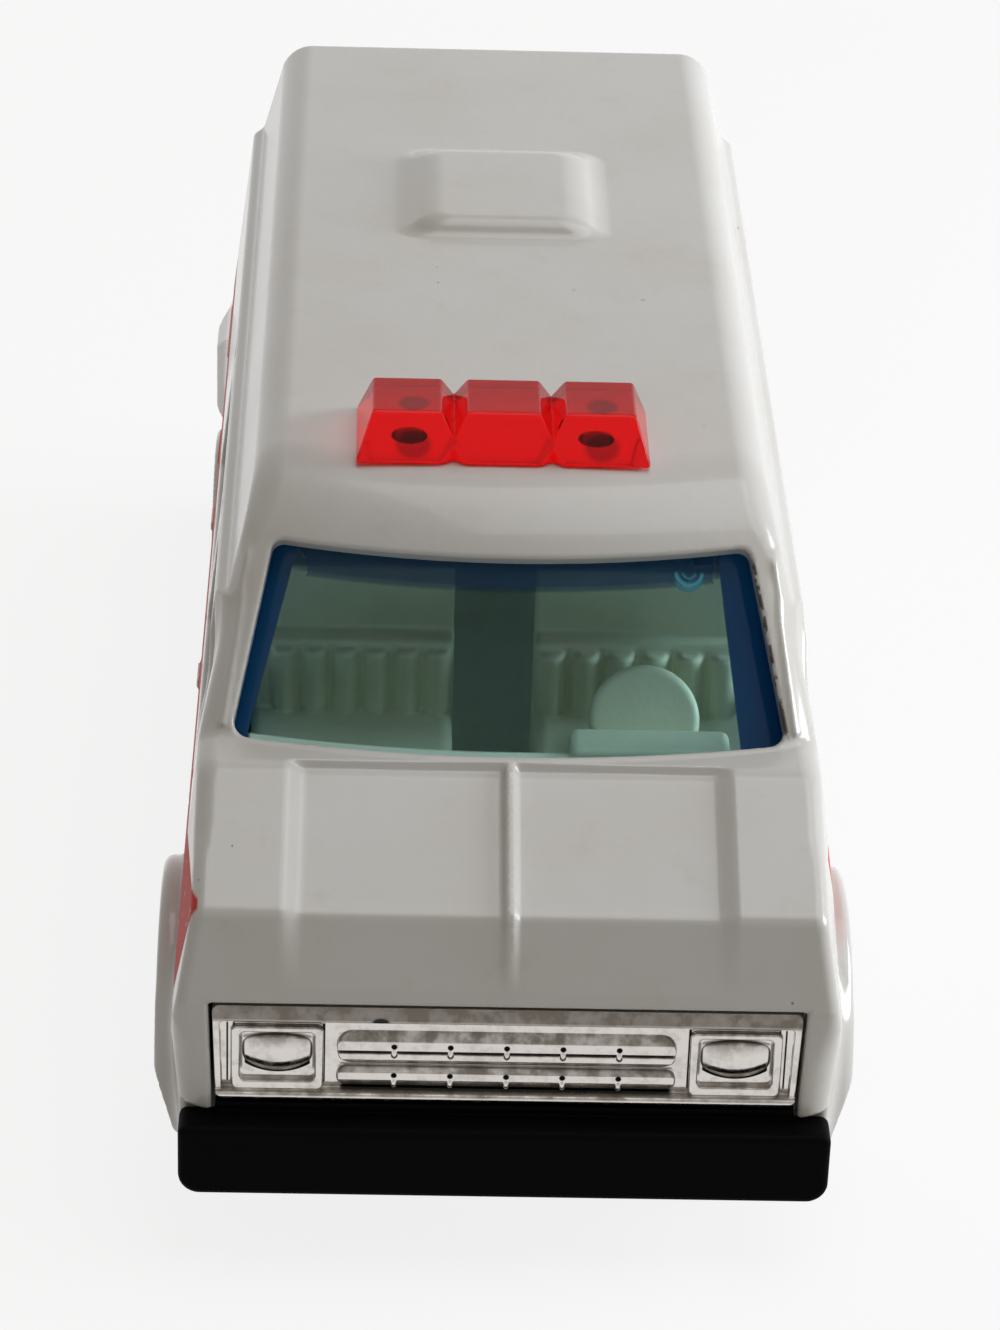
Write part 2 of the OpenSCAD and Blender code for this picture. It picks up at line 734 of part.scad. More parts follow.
// Black base with both bumpers, the bearing blocks and the pads that carry the springs
base_in = 0.4;
base_half = half_w - sill_tuck - base_in;
base_end = 1;
base_corner_r = 0.5;
bumper_half = half_w - base_in;
bumper_low_r = 0.9;
bumper_top_r = 0.35;
valance_d = 0.6;
rear_block_in = 1;
spring_t = 0.25;
spring_w = 3;
spring_reach = 5;
spring_pad_l = 2.4;
spring_lift = 0.5;
spring_pad_h = axle_r + spring_lift;
spring_stud_r = 0.5;
spring_stud_h = 0.3;
module bumper(y0, y1) {
    along_y(y0, y1) outline(both_halves([
        [bumper_half, base_z, bumper_low_r], [bumper_half, bumper_top_z, bumper_top_r]]));
}
module bearing_block() {
    slot = axle_r + run_gap;
    difference() {
        box([bearing_out_x - bearing_w, -bearing_l / 2, sill_z - over - axle_z],
            [bearing_out_x, bearing_l / 2, tub_z - axle_z]);
        rod_x(0, far, slot);
        box([0, -slot, 0], [far, slot, far]);
    }
}
module spring_pad(side) {
    low = side > 0 ? spring_reach : -spring_reach - spring_pad_l;
    box([-spring_w / 2, low, sill_z - over - axle_z], [spring_w / 2, low + spring_pad_l, spring_pad_h]);
    post(0, low + spring_pad_l / 2, 0, spring_pad_h + spring_t + spring_stud_h, spring_stud_r);
}
module baseplate() color(base_black) difference() {
    union() {
        along_z(base_z, sill_z) difference() {
            outline(box_corners(-base_half, front_y + base_end, base_half, rear_y - base_end, base_corner_r));
            for (y = [front_axle_y, rear_axle_y]) both_sides()
                outline(box_corners(bearing_out_x, y - arch_r, half_w, y + arch_r, base_corner_r));
        }
        bumper(front_y, front_y + bumper_d);
        bumper(rear_y - bumper_d, rear_y);
        box([-grille_half_low + fit_gap, front_y + bumper_d - over, base_z],
            [grille_half_low - fit_gap, nose_y + wall + valance_d, grille_low_z]);
        box([-base_half + rear_block_in, tail_y - rear_wall, base_z],
            [base_half - rear_block_in, rear_y - over, bumper_top_z]);
        at_axles() both_sides() bearing_block();
        at_axle(front_axle_y) spring_pad(1);
        at_axle(rear_axle_y) spring_pad(-1);
    }
    for (y = [post_front_y, post_rear_y]) {
        post(0, y, base_z - over, sill_z + over, rivet_r + run_gap);
        post(0, y, base_z - over, base_z + rivet_head_t, rivet_head_r + run_gap);
    }
}

module rivets() color(steel) for (y = [post_front_y, post_rear_y]) {
    post(0, y, base_z, base_z + rivet_head_t, rivet_head_r);
    post(0, y, base_z, sill_z + rivet_l, rivet_r);
}

// Axle wire with a head formed on each end, sunk in the face of the hub
hub_face_in = 0.5;
hub_face_x = tyre_out_x - hub_face_in;
head_t = 0.4;
head_lap = 0.4;
head_sunk = 0.3;
head_r = axle_r + head_lap;
head_x = hub_face_x - head_sunk;
module axle(y) color(steel) at_axle(y) {
    rod_x(-head_x, head_x, axle_r);
    both_sides() rod_x(head_x, head_x + head_t, head_r);
}

// Leaf spring: a steel strip held by the stud on its pad, its free end resting on the axle
spring_rest = 0.03;
spring_toe = [0.4, -0.8, -1.4];
spring_curl = 0.3;
module leaf_spring(y, side) color(steel) at_axle(y) mirror([0, side > 0 ? 0 : 1, 0]) difference() {
    low = [
        [spring_toe[2], axle_r + spring_rest + spring_curl],
        [spring_toe[1], axle_r + spring_rest],
        [spring_toe[0], axle_r + spring_rest],
        [spring_reach, spring_pad_h],
        [spring_reach + spring_pad_l, spring_pad_h]];
    along_x(-spring_w / 2, spring_w / 2)
        polygon(concat(low, [for (i = [len(low) - 1:-1:0]) low[i] + [0, spring_t]]));
    post(0, spring_reach + spring_pad_l / 2, 0, far, spring_stud_r + run_gap);
}

// Wheel: a plated hub that turns on the axle, and the tyre around it
hub_r = hub_d / 2;
rim_t = 0.5;
rim_slope = 0.3;
hub_dish = 1;
hub_back = 0.5;
hub_back_rim = 0.2;
boss_back_r = 1.8;
boss_r = 1.5;
boss_in = 0.2;
head_gap = 0.1;
module hub(y, side) color(plated) at_axle(y) on_side(side) ring_x() polygon([
    [axle_r + run_gap, hub_in_x],
    [boss_back_r, hub_in_x],
    [boss_back_r, tyre_in_x + hub_back],
    [hub_r - rim_t, tyre_in_x + hub_back],
    [hub_r - rim_t, tyre_in_x + hub_back_rim],
    [hub_r, tyre_in_x + hub_back_rim],
    [hub_r, hub_face_x],
    [hub_r - rim_t, hub_face_x],
    [hub_r - rim_t - rim_slope, hub_face_x - hub_dish],
    [boss_r, hub_face_x - hub_dish],
    [boss_r, hub_face_x - boss_in],
    [head_r + head_gap, hub_face_x - boss_in],
    [head_r + head_gap, head_x - head_gap],
    [axle_r + run_gap, head_x - head_gap]]);

tyre_edge_r = 0.7;
tyre_bead_r = 0.3;
tread_depth = 0.2;
tread_half = [0.12, 0.2];
tread_pitch = 0.7;
module tyre(y, side) color(tyre_black) at_axle(y) on_side(side) difference() {
    mid_x = (tyre_in_x + tyre_out_x) / 2;
    ring_x() outline([
        [hub_r, tyre_in_x, tyre_bead_r],
        [wheel_r, tyre_in_x, tyre_edge_r],
        [wheel_r, tyre_out_x, tyre_edge_r],
        [hub_r, tyre_out_x, tyre_bead_r]]);
    for (i = [-1:1]) translate([mid_x + i * tread_pitch, 0, 0]) ring_x() polygon([
        [wheel_r - tread_depth, -tread_half[0]], [wheel_r + tread_depth, -tread_half[1]],
        [wheel_r + tread_depth, tread_half[1]], [wheel_r - tread_depth, tread_half[0]]]);
}

// Rear doors, hung on pins at their outer edges, each with its own pane
door_glass_t = 0.55;
door_window_up = 7.1;
door_window_down = 2.8;
door_window_hinge = 1.65;
door_window_low = door_low_z + door_window_up;
door_window_high = door_high_z - door_window_down;
door_window_in = 2;
door_window_out = hinge_x - door_window_hinge;
door_rebate = 0.7;
handle_drop = 2.2;
handle_z = door_window_low - handle_drop;
handle_h = 0.5;
handle_x = [0.5, 2.2];
handle_proud = 0.35;
module door_window(grow) {
    outline(box_corners(door_window_in - grow, door_window_low - grow,
        door_window_out + grow, door_window_high + grow, window_r));
}
module rear_door(side) color(paint_white) on_side(side) difference() {
    union() {
        box([fit_gap, hinge_y - door_t / 2, door_low_z], [hinge_x, door_y, door_high_z]);
        post(hinge_x, hinge_y, door_low_z, door_high_z, door_t / 2);
        post(hinge_x, hinge_y, door_low_z - pin_l, door_high_z + pin_l, pin_r);
        box([handle_x[0], door_y - joint, handle_z],
            [handle_x[1], door_y + handle_proud, handle_z + handle_h]);
    }
    along_y(hinge_y - far, far) door_window(0);
    along_y(hinge_y - door_t, hinge_y - door_t / 2 + door_glass_t) door_window(door_rebate);
}
module rear_door_glass(side) color(glass_blue) on_side(side)
    along_y(hinge_y - door_t / 2, hinge_y - door_t / 2 + door_glass_t) door_window(door_rebate - run_gap);

body_shell();
glazing();
light_bar();
grille_insert();
interior_tub();
baseplate();
rivets();
axle(front_axle_y);  // front_axle
axle(rear_axle_y);  // rear_axle
leaf_spring(front_axle_y, 1);  // front_spring
leaf_spring(rear_axle_y, -1);  // rear_spring
hub(front_axle_y, 1);  // hub_front_left
hub(front_axle_y, -1);  // hub_front_right
hub(rear_axle_y, 1);  // hub_rear_left
hub(rear_axle_y, -1);  // hub_rear_right
tyre(front_axle_y, 1);  // tyre_front_left
tyre(front_axle_y, -1);  // tyre_front_right
tyre(rear_axle_y, 1);  // tyre_rear_left
tyre(rear_axle_y, -1);  // tyre_rear_right
rear_door(1);  // rear_door_left
rear_door(-1);  // rear_door_right
rear_door_glass(1);  // rear_door_glass_left
rear_door_glass(-1);  // rear_door_glass_right
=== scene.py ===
import math
from functools import reduce

import bpy
import numpy as np
from mathutils import Matrix


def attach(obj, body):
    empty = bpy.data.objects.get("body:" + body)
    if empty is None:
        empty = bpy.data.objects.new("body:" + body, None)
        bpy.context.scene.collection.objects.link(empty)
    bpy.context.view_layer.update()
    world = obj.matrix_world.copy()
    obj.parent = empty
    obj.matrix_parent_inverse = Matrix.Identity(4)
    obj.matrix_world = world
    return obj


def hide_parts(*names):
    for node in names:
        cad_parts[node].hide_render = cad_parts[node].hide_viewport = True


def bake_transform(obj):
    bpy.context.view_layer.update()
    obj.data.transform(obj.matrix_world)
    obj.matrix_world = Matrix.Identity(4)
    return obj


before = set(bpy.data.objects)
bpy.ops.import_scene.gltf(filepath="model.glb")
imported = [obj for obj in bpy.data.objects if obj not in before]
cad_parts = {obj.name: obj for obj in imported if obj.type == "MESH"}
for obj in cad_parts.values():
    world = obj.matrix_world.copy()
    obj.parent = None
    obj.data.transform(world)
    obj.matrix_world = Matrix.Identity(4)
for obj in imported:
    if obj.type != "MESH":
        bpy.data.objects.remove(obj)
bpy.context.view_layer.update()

# Looks of a die-cast toy ambulance van. Most pieces are distance fields in millimetres, negative inside,
# written from the CAD model's own sizes and turned into meshes in metres.
MM = 0.001
COARSE = 1.0
TRIANGLE_LIMIT = 190000

# Levels and ends of the van
FRONT_Y, TAIL_Y = -36.2, 35.3
HALF_W, SILL_Z, ROOF_Z = 14.4, 4.6, 28.5
WALL, REAR_WALL = 1.2, 2.0
BUMPER_TOP_Z, BUMPER_ROOM_Z = 7.05, 7.15
GRILLE_TOP_Z = 12.35
GRILLE_SIDE = [(12.6, 7.5), (12.75, GRILLE_TOP_Z)]

# Lines of the body: (across, up, corner radius) or (along, up, corner radius), anticlockwise
SILL_W = 13.9
GUTTER, ROOF_FOOT, GUTTER_ROOT_Z = (13.1, 23.3), (12.55, 23.7), 22.9
SIDE_LINE = [(SILL_W, SILL_Z, 0), (HALF_W, 10.2, 4), (14.15, 14.5, 4), (*GUTTER, 0)]
GUTTER_LEDGE = [GUTTER, ROOF_FOOT]
ROOF_SIDE = [ROOF_FOOT, (11.2, ROOF_Z)]
COWL_Y, COWL_Z, CREASE_Y, CREASE_Z = -26.2, 19.3, -33.3, 16.2
NOSE_LINE = [(60, COWL_Z, 0), (COWL_Y, COWL_Z, 2.4), (CREASE_Y, CREASE_Z, 0.8), (-34.6, GRILLE_TOP_Z, 0.2),
             (-34.9, BUMPER_TOP_Z, 0)]
SCREEN_Y, SCREEN_RAKE = -25.6, math.radians(48.7)
BOW_R, BOW_Y, BROW_R = 46.0, 20.4, 6.6

# Planes that draw the sides in at the nose and the pillars: place, slopes and length of the normal
NOSE_W, NOSE_PULL, NOSE_LEAN, NOSE_NORMAL = 13.45, 0.085, 0.197, 1.023
PILLAR_W, PILLAR_LEAN, PILLAR_NORMAL = 13.5, 0.25, 1.031

# Windows and doors in the sides
WINDOW_LOW_Z, WINDOW_TOP_Z, WINDOW_R = 17.4, 22.1, 0.8
DOOR_Y, LOAD_DOOR_Y, DOOR_TOP_Z, DOOR_FOOT_Z = -7.95, 8.15, 22.9, 5.6
DOOR_NOSE = (-22.9, 17.6)
HANDLES_Y = (-10.6, 5.4)

# Roof hatch, front flare, and how far in what stands proud of the sides is rooted
HATCH_Y, HATCH_TOP_Z = 15.0, 29.3
FLARE_PROUD, ROOT_X = 0.8, HALF_W - 1.4

# Wheels
FRONT_AXLE_Y, REAR_AXLE_Y, AXLE_Z = -25.2, 19.3, 5.3
WHEEL_R, HUB_R, ARCH_R = 5.3, 3.4, 6.35
TYRE_IN_X, TYRE_OUT_X, HUB_IN_X, HUB_FACE_X = 11.0, 14.5, 10.8, 14.0
BEARING_OUT_X, AXLE_BORE_R = 10.5, 0.65

# Light bar with its pegs, posts that the base is riveted to, and hinges of the rear doors
BAR_X, BAR_Y, BAR_Z, BAR_TOP_Z = -0.4, -12.6, 28.53, 30.6
PEGS = [(-4.6, BAR_Y), (3.8, BAR_Y)]
PEG_R, PEG_BORE_R, PEG_ROOM_R = 0.8, 0.85, 0.95
POST_FRONT_Y, POST_REAR_Y, POST_R, RIVET_BORE_R = -29.3, 31.8, 1.6, 0.95
HINGE_X, HINGE_Y = 10.25, 34.6


# Distance fields

def meet(r, a, b, cosine=0.0):
    """What two fields share, its edge rounded to radius r; cosine is that of the angle between their normals."""
    a, b = a + r, b + r
    corner = np.sqrt(np.maximum(a * a + b * b - 2 * cosine * a * b, 0) / (1 - cosine * cosine))
    return np.where((a > cosine * b) & (b > cosine * a), corner, np.maximum(a, b)) - r


def common(r, *fields):
    return reduce(lambda a, b: meet(r, a, b), fields)


def join(r, *fields):
    """All the fields together, with fillets of radius r where they meet."""
    return reduce(lambda a, b: -meet(r, -a, -b), fields)


def cut(r, field, *tools):
    return reduce(lambda a, b: meet(r, a, -b), tools, field)


def every(*fields):
    return reduce(np.maximum, fields)


def either(*fields):
    return reduce(np.minimum, fields)


def right_of(u, v, p, q):
    """How far (u, v) lies to the right of the line from p to q."""
    du, dv = q[0] - p[0], q[1] - p[1]
    return ((u - p[0]) * dv - (v - p[1]) * du) / math.hypot(du, dv)


def chain(u, v, corners):
    """The field left of a chain of lines, each corner rounded by its own radius."""
    lines = list(zip(corners, corners[1:]))
    field = right_of(u, v, *lines[0])
    for (p, q), (_, s) in zip(lines, lines[1:]):
        first, second = (q[0] - p[0], q[1] - p[1]), (s[0] - q[0], s[1] - q[1])
        cosine = (first[0] * second[0] + first[1] * second[1]) / (math.hypot(*first) * math.hypot(*second))
        field = meet(q[2], field, right_of(u, v, q, s), cosine)
    return field


def block(x, y, z, low, high, r):
    """A box with all its edges rounded to radius r."""
    gaps = [np.abs(c - (a + b) / 2) - (b - a) / 2 + r for c, a, b in zip((x, y, z), low, high)]
    outside = np.sqrt(sum(np.maximum(g, 0) ** 2 for g in gaps))
    return outside + np.minimum(every(*gaps), 0) - r


def plate(u, v, low, high, r):
    """A flat shape with rounded corners, without ends."""
    gap_u = np.abs(u - (low[0] + high[0]) / 2) - (high[0] - low[0]) / 2 + r
    gap_v = np.abs(v - (low[1] + high[1]) / 2) - (high[1] - low[1]) / 2 + r
    outside = np.sqrt(np.maximum(gap_u, 0) ** 2 + np.maximum(gap_v, 0) ** 2)
    return outside + np.minimum(np.maximum(gap_u, gap_v), 0) - r


def post(x, y, z, at, low, high, r, edge=0.0):
    return meet(edge, np.hypot(x - at[0], y - at[1]) - r, np.abs(z - (low + high) / 2) - (high - low) / 2)


def smooth(v, start, end):
    t = np.clip((v - start) / (end - start), 0, 1)
    return t * t * (3 - 2 * t)


def ridge(distance, half):
    return np.exp(-(distance / half) ** 2)


def from_path(u, v, path):
    """Distance from a path of straight stretches."""
    near = None
    for p, q in zip(path, path[1:]):
        du, dv = q[0] - p[0], q[1] - p[1]
        t = np.clip(((u - p[0]) * du + (v - p[1]) * dv) / (du * du + dv * dv), 0, 1)
        gap = np.hypot(u - p[0] - t * du, v - p[1] - t * dv)
        near = gap if near is None else np.minimum(near, gap)
    return near


def up_screen(y, z):
    """Distance up the windscreen from its foot, for points or shader values."""
    return (y - SCREEN_Y) * math.cos(SCREEN_RAKE) + (z - COWL_Z) * math.sin(SCREEN_RAKE)


def from_pegs(x, y):
    return either(*(np.hypot(x - p, y - q) for p, q in PEGS))


def from_posts(x, y):
    return np.hypot(x, np.minimum(np.abs(y - POST_FRONT_Y), np.abs(y - POST_REAR_Y)))


# Meshes from fields

def crossings(field, low, high, step):
    """The field's zero surface on a grid: points and outward quads, one point for each cell that it crosses."""
    axes = [np.arange(a - 1.6 * step, b + 2.6 * step, step, dtype=np.float32) for a, b in zip(low, high)]
    shape = tuple(len(a) for a in axes)
    values = np.broadcast_to(field(axes[0][:, None, None], axes[1][None, :, None], axes[2][None, None, :]), shape)
    inside = values < 0
    points, cells = [], []
    for a in range(3):
        here, there = [slice(None)] * 3, [slice(None)] * 3
        here[a], there[a] = slice(None, -1), slice(1, None)
        here, there = tuple(here), tuple(there)
        index = np.argwhere(inside[here] != inside[there])
        start = values[here][tuple(index.T)]
        end = values[there][tuple(index.T)]
        point = np.stack([axes[k][index[:, k]] for k in range(3)], 1)
        point[:, a] += step * start / (start - end)
        around = []
        for back_u, back_w in ((0, 0), (1, 0), (1, 1), (0, 1)):
            cell = index.copy()
            cell[:, (a + 1) % 3] -= back_u
            cell[:, (a + 2) % 3] -= back_w
            around.append(np.ravel_multi_index(tuple(cell.T), shape))
        around = np.stack(around, 1)
        around[start >= 0] = around[start >= 0][:, ::-1]
        points.append(point)
        cells.append(around)
    cells = np.concatenate(cells)
    _, corner = np.unique(cells.ravel(), return_inverse=True)
    spread = np.repeat(np.concatenate(points), 4, axis=0)
    count = np.bincount(corner)
    return np.stack([np.bincount(corner, spread[:, k]) / count for k in range(3)], 1), corner.reshape(-1, 4)


def thinned(points, quads, limit):
    """The same surface in at most limit triangles."""
    mesh = new_mesh("thinned", points, quads)
    obj = bpy.data.objects.new("thinned", mesh)
    bpy.context.collection.objects.link(obj)
    obj.modifiers.new("thin", "DECIMATE").ratio = limit / (2 * len(quads))
    result = bpy.data.meshes.new_from_object(obj.evaluated_get(bpy.context.evaluated_depsgraph_get()))
    points = np.empty(3 * len(result.vertices))
    result.vertices.foreach_get("co", points)
    result.calc_loop_triangles()
    triangles = np.empty(3 * len(result.loop_triangles), dtype=np.int32)
    result.loop_triangles.foreach_get("vertices", triangles)
    bpy.data.objects.remove(obj)
    bpy.data.meshes.remove(mesh)
    bpy.data.meshes.remove(result)
    return points.reshape(-1, 3), triangles.reshape(-1, 3)


def new_mesh(name, points, faces):
    mesh = bpy.data.meshes.new(name)
    mesh.vertices.add(len(points))
    mesh.vertices.foreach_set("co", np.ascontiguousarray(points, dtype=np.float32).ravel())
    mesh.loops.add(faces.size)
    mesh.loops.foreach_set("vertex_index", np.ascontiguousarray(faces, dtype=np.int32).ravel())
    mesh.polygons.add(len(faces))
    mesh.polygons.foreach_set("loop_start", np.arange(0, faces.size, faces.shape[1], dtype=np.int32))
    mesh.update(calc_edges=True)
    return mesh


def gradient(field, points, reach=0.01):
    steps = np.eye(3) * reach
    return np.stack([field(*(points + s).T) - field(*(points - s).T) for s in steps], 1) / (2 * reach)


def unit(vectors):
    return vectors / np.maximum(np.linalg.norm(vectors, axis=1, keepdims=True), 1e-9)


def corner_normals(field, points, triangles):
    """The field's own normals; a corner that differs much from its face takes the normal a little further in."""
    corners = points[triangles]
    faces = unit(np.cross(corners[:, 1] - corners[:, 0], corners[:, 2] - corners[:, 0]))
    normals = unit(gradient(field, points))[triangles]
    apart = (normals * faces[:, None, :]).sum(2) < math.cos(math.radians(20))
    further_in = (0.6 * corners + 0.4 * corners.mean(1, keepdims=True))[apart]
    if len(further_in):
        normals[apart] = unit(gradient(field, further_in))
    return normals.reshape(-1, 3)


def surface(field, low, high, step):
    """Points, triangles and corner normals of a field's surface, the points drawn exactly onto it."""
    step *= COARSE
    points, quads = crossings(field, low, high, step)
    if 2 * len(quads) > TRIANGLE_LIMIT:
        points, triangles = thinned(points, quads, TRIANGLE_LIMIT)
    else:
        triangles = np.concatenate([quads[:, [0, 1, 2]], quads[:, [0, 2, 3]]])
    for _ in range(2):
        slope = gradient(field, points)
        move = slope * (field(*points.T) / np.maximum((slope ** 2).sum(1), 0.25))[:, None]
        reach = np.maximum(np.linalg.norm(move, axis=1, keepdims=True) / (0.5 * step), 1)
        points = points - move / reach
    return points, triangles, corner_normals(field, points, triangles)


def moved(shape, offset=(0, 0, 0), mirrored=False):
    points, triangles, normals = shape
    if mirrored:
        flip = np.array([-1, 1, 1])
        points, normals = points * flip, normals.reshape(-1, 3, 3)[:, ::-1].reshape(-1, 3) * flip
        triangles = triangles[:, ::-1]
    return points + np.array(offset), triangles, normals


def piece(name, shape, finish, body, slot, *nodes):
    """A finished piece in metres that rides on a body and stands for its CAD nodes."""
    points, triangles, normals = shape
    mesh = new_mesh(name, points * MM, triangles)
    mesh.polygons.foreach_set("use_smooth", np.ones(len(triangles), dtype=bool))
    mesh.normals_split_custom_set(normals.tolist())
    return placed(name, mesh, finish, body, slot, *nodes)


def placed(name, mesh, finish, body, slot, *nodes):
    if not mesh.materials:
        mesh.materials.append(finish)
    obj = bpy.data.objects.new(name, mesh)
    bpy.context.collection.objects.link(obj)
    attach(obj, body)
    if nodes:
        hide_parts(*nodes)
    return obj


# Shader nodes

class Value:
    """An output of a shader node; arithmetic on it adds Math nodes."""

    def __init__(self, nodes, output):
        self.nodes, self.output = nodes, output

    def math(self, operation, *values):
        return self.nodes.node("ShaderNodeMath", {"operation": operation}, *values)[0]

    def __add__(self, other):
        return self.math("ADD", self, other)

    def __sub__(self, other):
        return self.math("SUBTRACT", self, other)

    def __rsub__(self, other):
        return self.math("SUBTRACT", other, self)

    def __mul__(self, other):
        return self.math("MULTIPLY", self, other)

    def __abs__(self):
        return self.math("ABSOLUTE", self)

    __radd__, __rmul__ = __add__, __mul__

    def most(self, other):
        return self.math("MAXIMUM", self, other)

    def least(self, other):
        return self.math("MINIMUM", self, other)

    def step(self, start, end):
        """0 before start, 1 after end, smooth between them."""
        return self.nodes.node("ShaderNodeMapRange", {"interpolation_type": "SMOOTHSTEP"}, self, start, end, 0, 1)[0]

    def band(self, low, high, soft):
        """1 between low and high, 0 outside."""
        return self.step(low - soft, low + soft) * (1 - self.step(high - soft, high + soft))


class Outputs:
    """A node's outputs, by number or name."""

    def __init__(self, nodes, node):
        self.nodes, self.node = nodes, node

    def __getitem__(self, key):
        enabled = [o for o in self.node.outputs if o.enabled]
        if isinstance(key, int):
            return Value(self.nodes, enabled[key])
        return Value(self.nodes, next(o for o in enabled if o.name == key))


class Nodes:
    """A shader tree that starts empty."""

    def __init__(self, tree):
        self.tree = tree
        tree.nodes.clear()

    def node(self, kind, settings=None, *inputs, **named):
        """A node of any type, its sockets filled by number or name; returns its outputs."""
        node = self.tree.nodes.new(kind)
        for key, value in (settings or {}).items():
            setattr(node, key, value)
        sockets = [s for s in node.inputs if s.enabled]
        for key, value in [*enumerate(inputs), *named.items()]:
            socket = sockets[key] if isinstance(key, int) else next(
                s for s in sockets if s.name.replace(" ", "_") == key)
            if isinstance(value, Value):
                self.tree.links.new(value.output, socket)
            else:
                socket.default_value = value
        return Outputs(self, node)

    def layer(self, share, first, second):
        """The second shader over the first, by share."""
        return self.node("ShaderNodeMixShader", {}, share, first, second)[0]

    def seen(self, camera_share):
        """How far a ray sees the studio as plain white: in the picture, in reflections and through clear pieces."""
        path = self.node("ShaderNodeLightPath")
        return path["Is Glossy Ray"].most(path["Is Transmission Ray"]).most(path["Is Camera Ray"] * camera_share)


class Finish(Nodes):
    """A procedural material on Object coordinates, in millimetres."""

    def __init__(self, name):
        self.material = bpy.data.materials.new(name)
        self.material.use_nodes = True
        super().__init__(self.material.node_tree)
        self.place = self.node("ShaderNodeVectorMath", {"operation": "SCALE"},
                               Vector=self.node("ShaderNodeTexCoord")["Object"], Scale=1 / MM)[0]
        self.x, self.y, self.z = (self.node("ShaderNodeSeparateXYZ", {}, self.place)[k] for k in range(3))

    def normal(self):
        return self.node("ShaderNodeSeparateXYZ", {}, self.node("ShaderNodeNewGeometry")["Normal"])

    def mix(self, share, first, second):
        """The second colour over the first, by share."""
        return self.node("ShaderNodeMix", {"data_type": "RGBA"}, share, first, second)["Result"]

    def apart(self, u, v, at=(0, 0)):
        """Distance of (u, v) from a point in their plane."""
        return self.node("ShaderNodeVectorMath", {"operation": "DISTANCE"},
                         self.node("ShaderNodeCombineXYZ", {}, u, v, 0)[0], (*at, 0))["Value"]

    def noise(self, size, detail=3.0, roughness=0.55):
        return self.node("ShaderNodeTexNoise", {}, Vector=self.place, Scale=1 / size, Detail=detail,
                         Roughness=roughness)["Fac"]

    def specks(self, size, radius, share):
        """Small spots, in a share of the cells of that size."""
        cell = self.node("ShaderNodeTexVoronoi", {}, Vector=self.place, Scale=1 / size)
        tone = self.node("ShaderNodeSeparateColor", {}, cell["Color"])[0]
        return (1 - cell["Distance"].step(0.5 * radius / size, radius / size)) * (1 - tone.step(share, share + 0.01))

    def bump(self, height, distance):
        return self.node("ShaderNodeBump", {}, Strength=1.0, Distance=distance * MM, Height=height)["Normal"]

    def surface(self, **sockets):
        return self.node("ShaderNodeBsdfPrincipled", {}, **sockets)["BSDF"]

    def done(self, shader):
        self.node("ShaderNodeOutputMaterial", {}, Surface=shader)
        return self.material


def rgb(red, green, blue):
    """A colour as seen on a screen, 0 to 255, as linear light."""
    return tuple(c / 3294.6 if c <= 10 else ((c / 255 + 0.055) / 1.055) ** 2.4 for c in (red, green, blue)) + (1,)


# Finishes

def white_enamel():
    """White paint with grime, chips and a worn red stripe along both sides."""
    f = Finish("white_enamel")
    cloud = f.noise(9, 4)
    colour = f.mix(cloud.step(0.35, 0.75), rgb(208, 207, 204), rgb(203, 200, 194))
    grime = f.noise(2.2, 5, 0.65).step(0.55, 0.8) * 0.25
    colour = f.mix(grime, colour, rgb(184, 177, 164))
    off_arch = f.apart(f.y, f.z, (FRONT_AXLE_Y, AXLE_Z)).step(7.5, 7.6)
    on_side = abs(f.x).step(13.2, 13.3) * (1 - (abs(f.x) + f.z * 0.085).step(15.40, 15.44))
    along = (f.y - f.x.step(-1, 1) * 4.5).band(-33.1, 33.9, 0.1)
    stripe = f.z.band(11.9, 16.4, 0.06) * on_side * along * off_arch
    worn = f.noise(0.7, 4, 0.7).step(0.62, 0.68)
    colour = f.mix(stripe * (1 - worn * 0.7), colour, rgb(196, 46, 32))
    chips = f.specks(3.1, 0.17, 0.2) * f.noise(6).step(0.42, 0.52)
    dots = f.specks(1.7, 0.08, 0.3)
    marks = chips.most(dots * 0.75)
    bare_edge = (f.x + f.z * 0.254).band(17.08, 17.26, 0.03) * f.z.band(19.6, 25.6, 0.2) * (1 - f.y.step(-16, -15))
    marks = marks.most(bare_edge * f.noise(0.5, 3).step(0.45, 0.55))
    colour = f.mix(marks, colour, rgb(74, 68, 60))
    ripple = f.noise(0.55, 2) * 0.6 + f.noise(2.6, 2)
    return f.done(f.surface(
        Base_Color=colour, Roughness=0.17 + cloud * 0.08 + marks * 0.3 + stripe * 0.35, Normal=f.bump(ripple, 0.012),
        Coat_Weight=(1 - stripe) * 0.3, Coat_Roughness=0.05, IOR=1.42, Specular_IOR_Level=0.4))


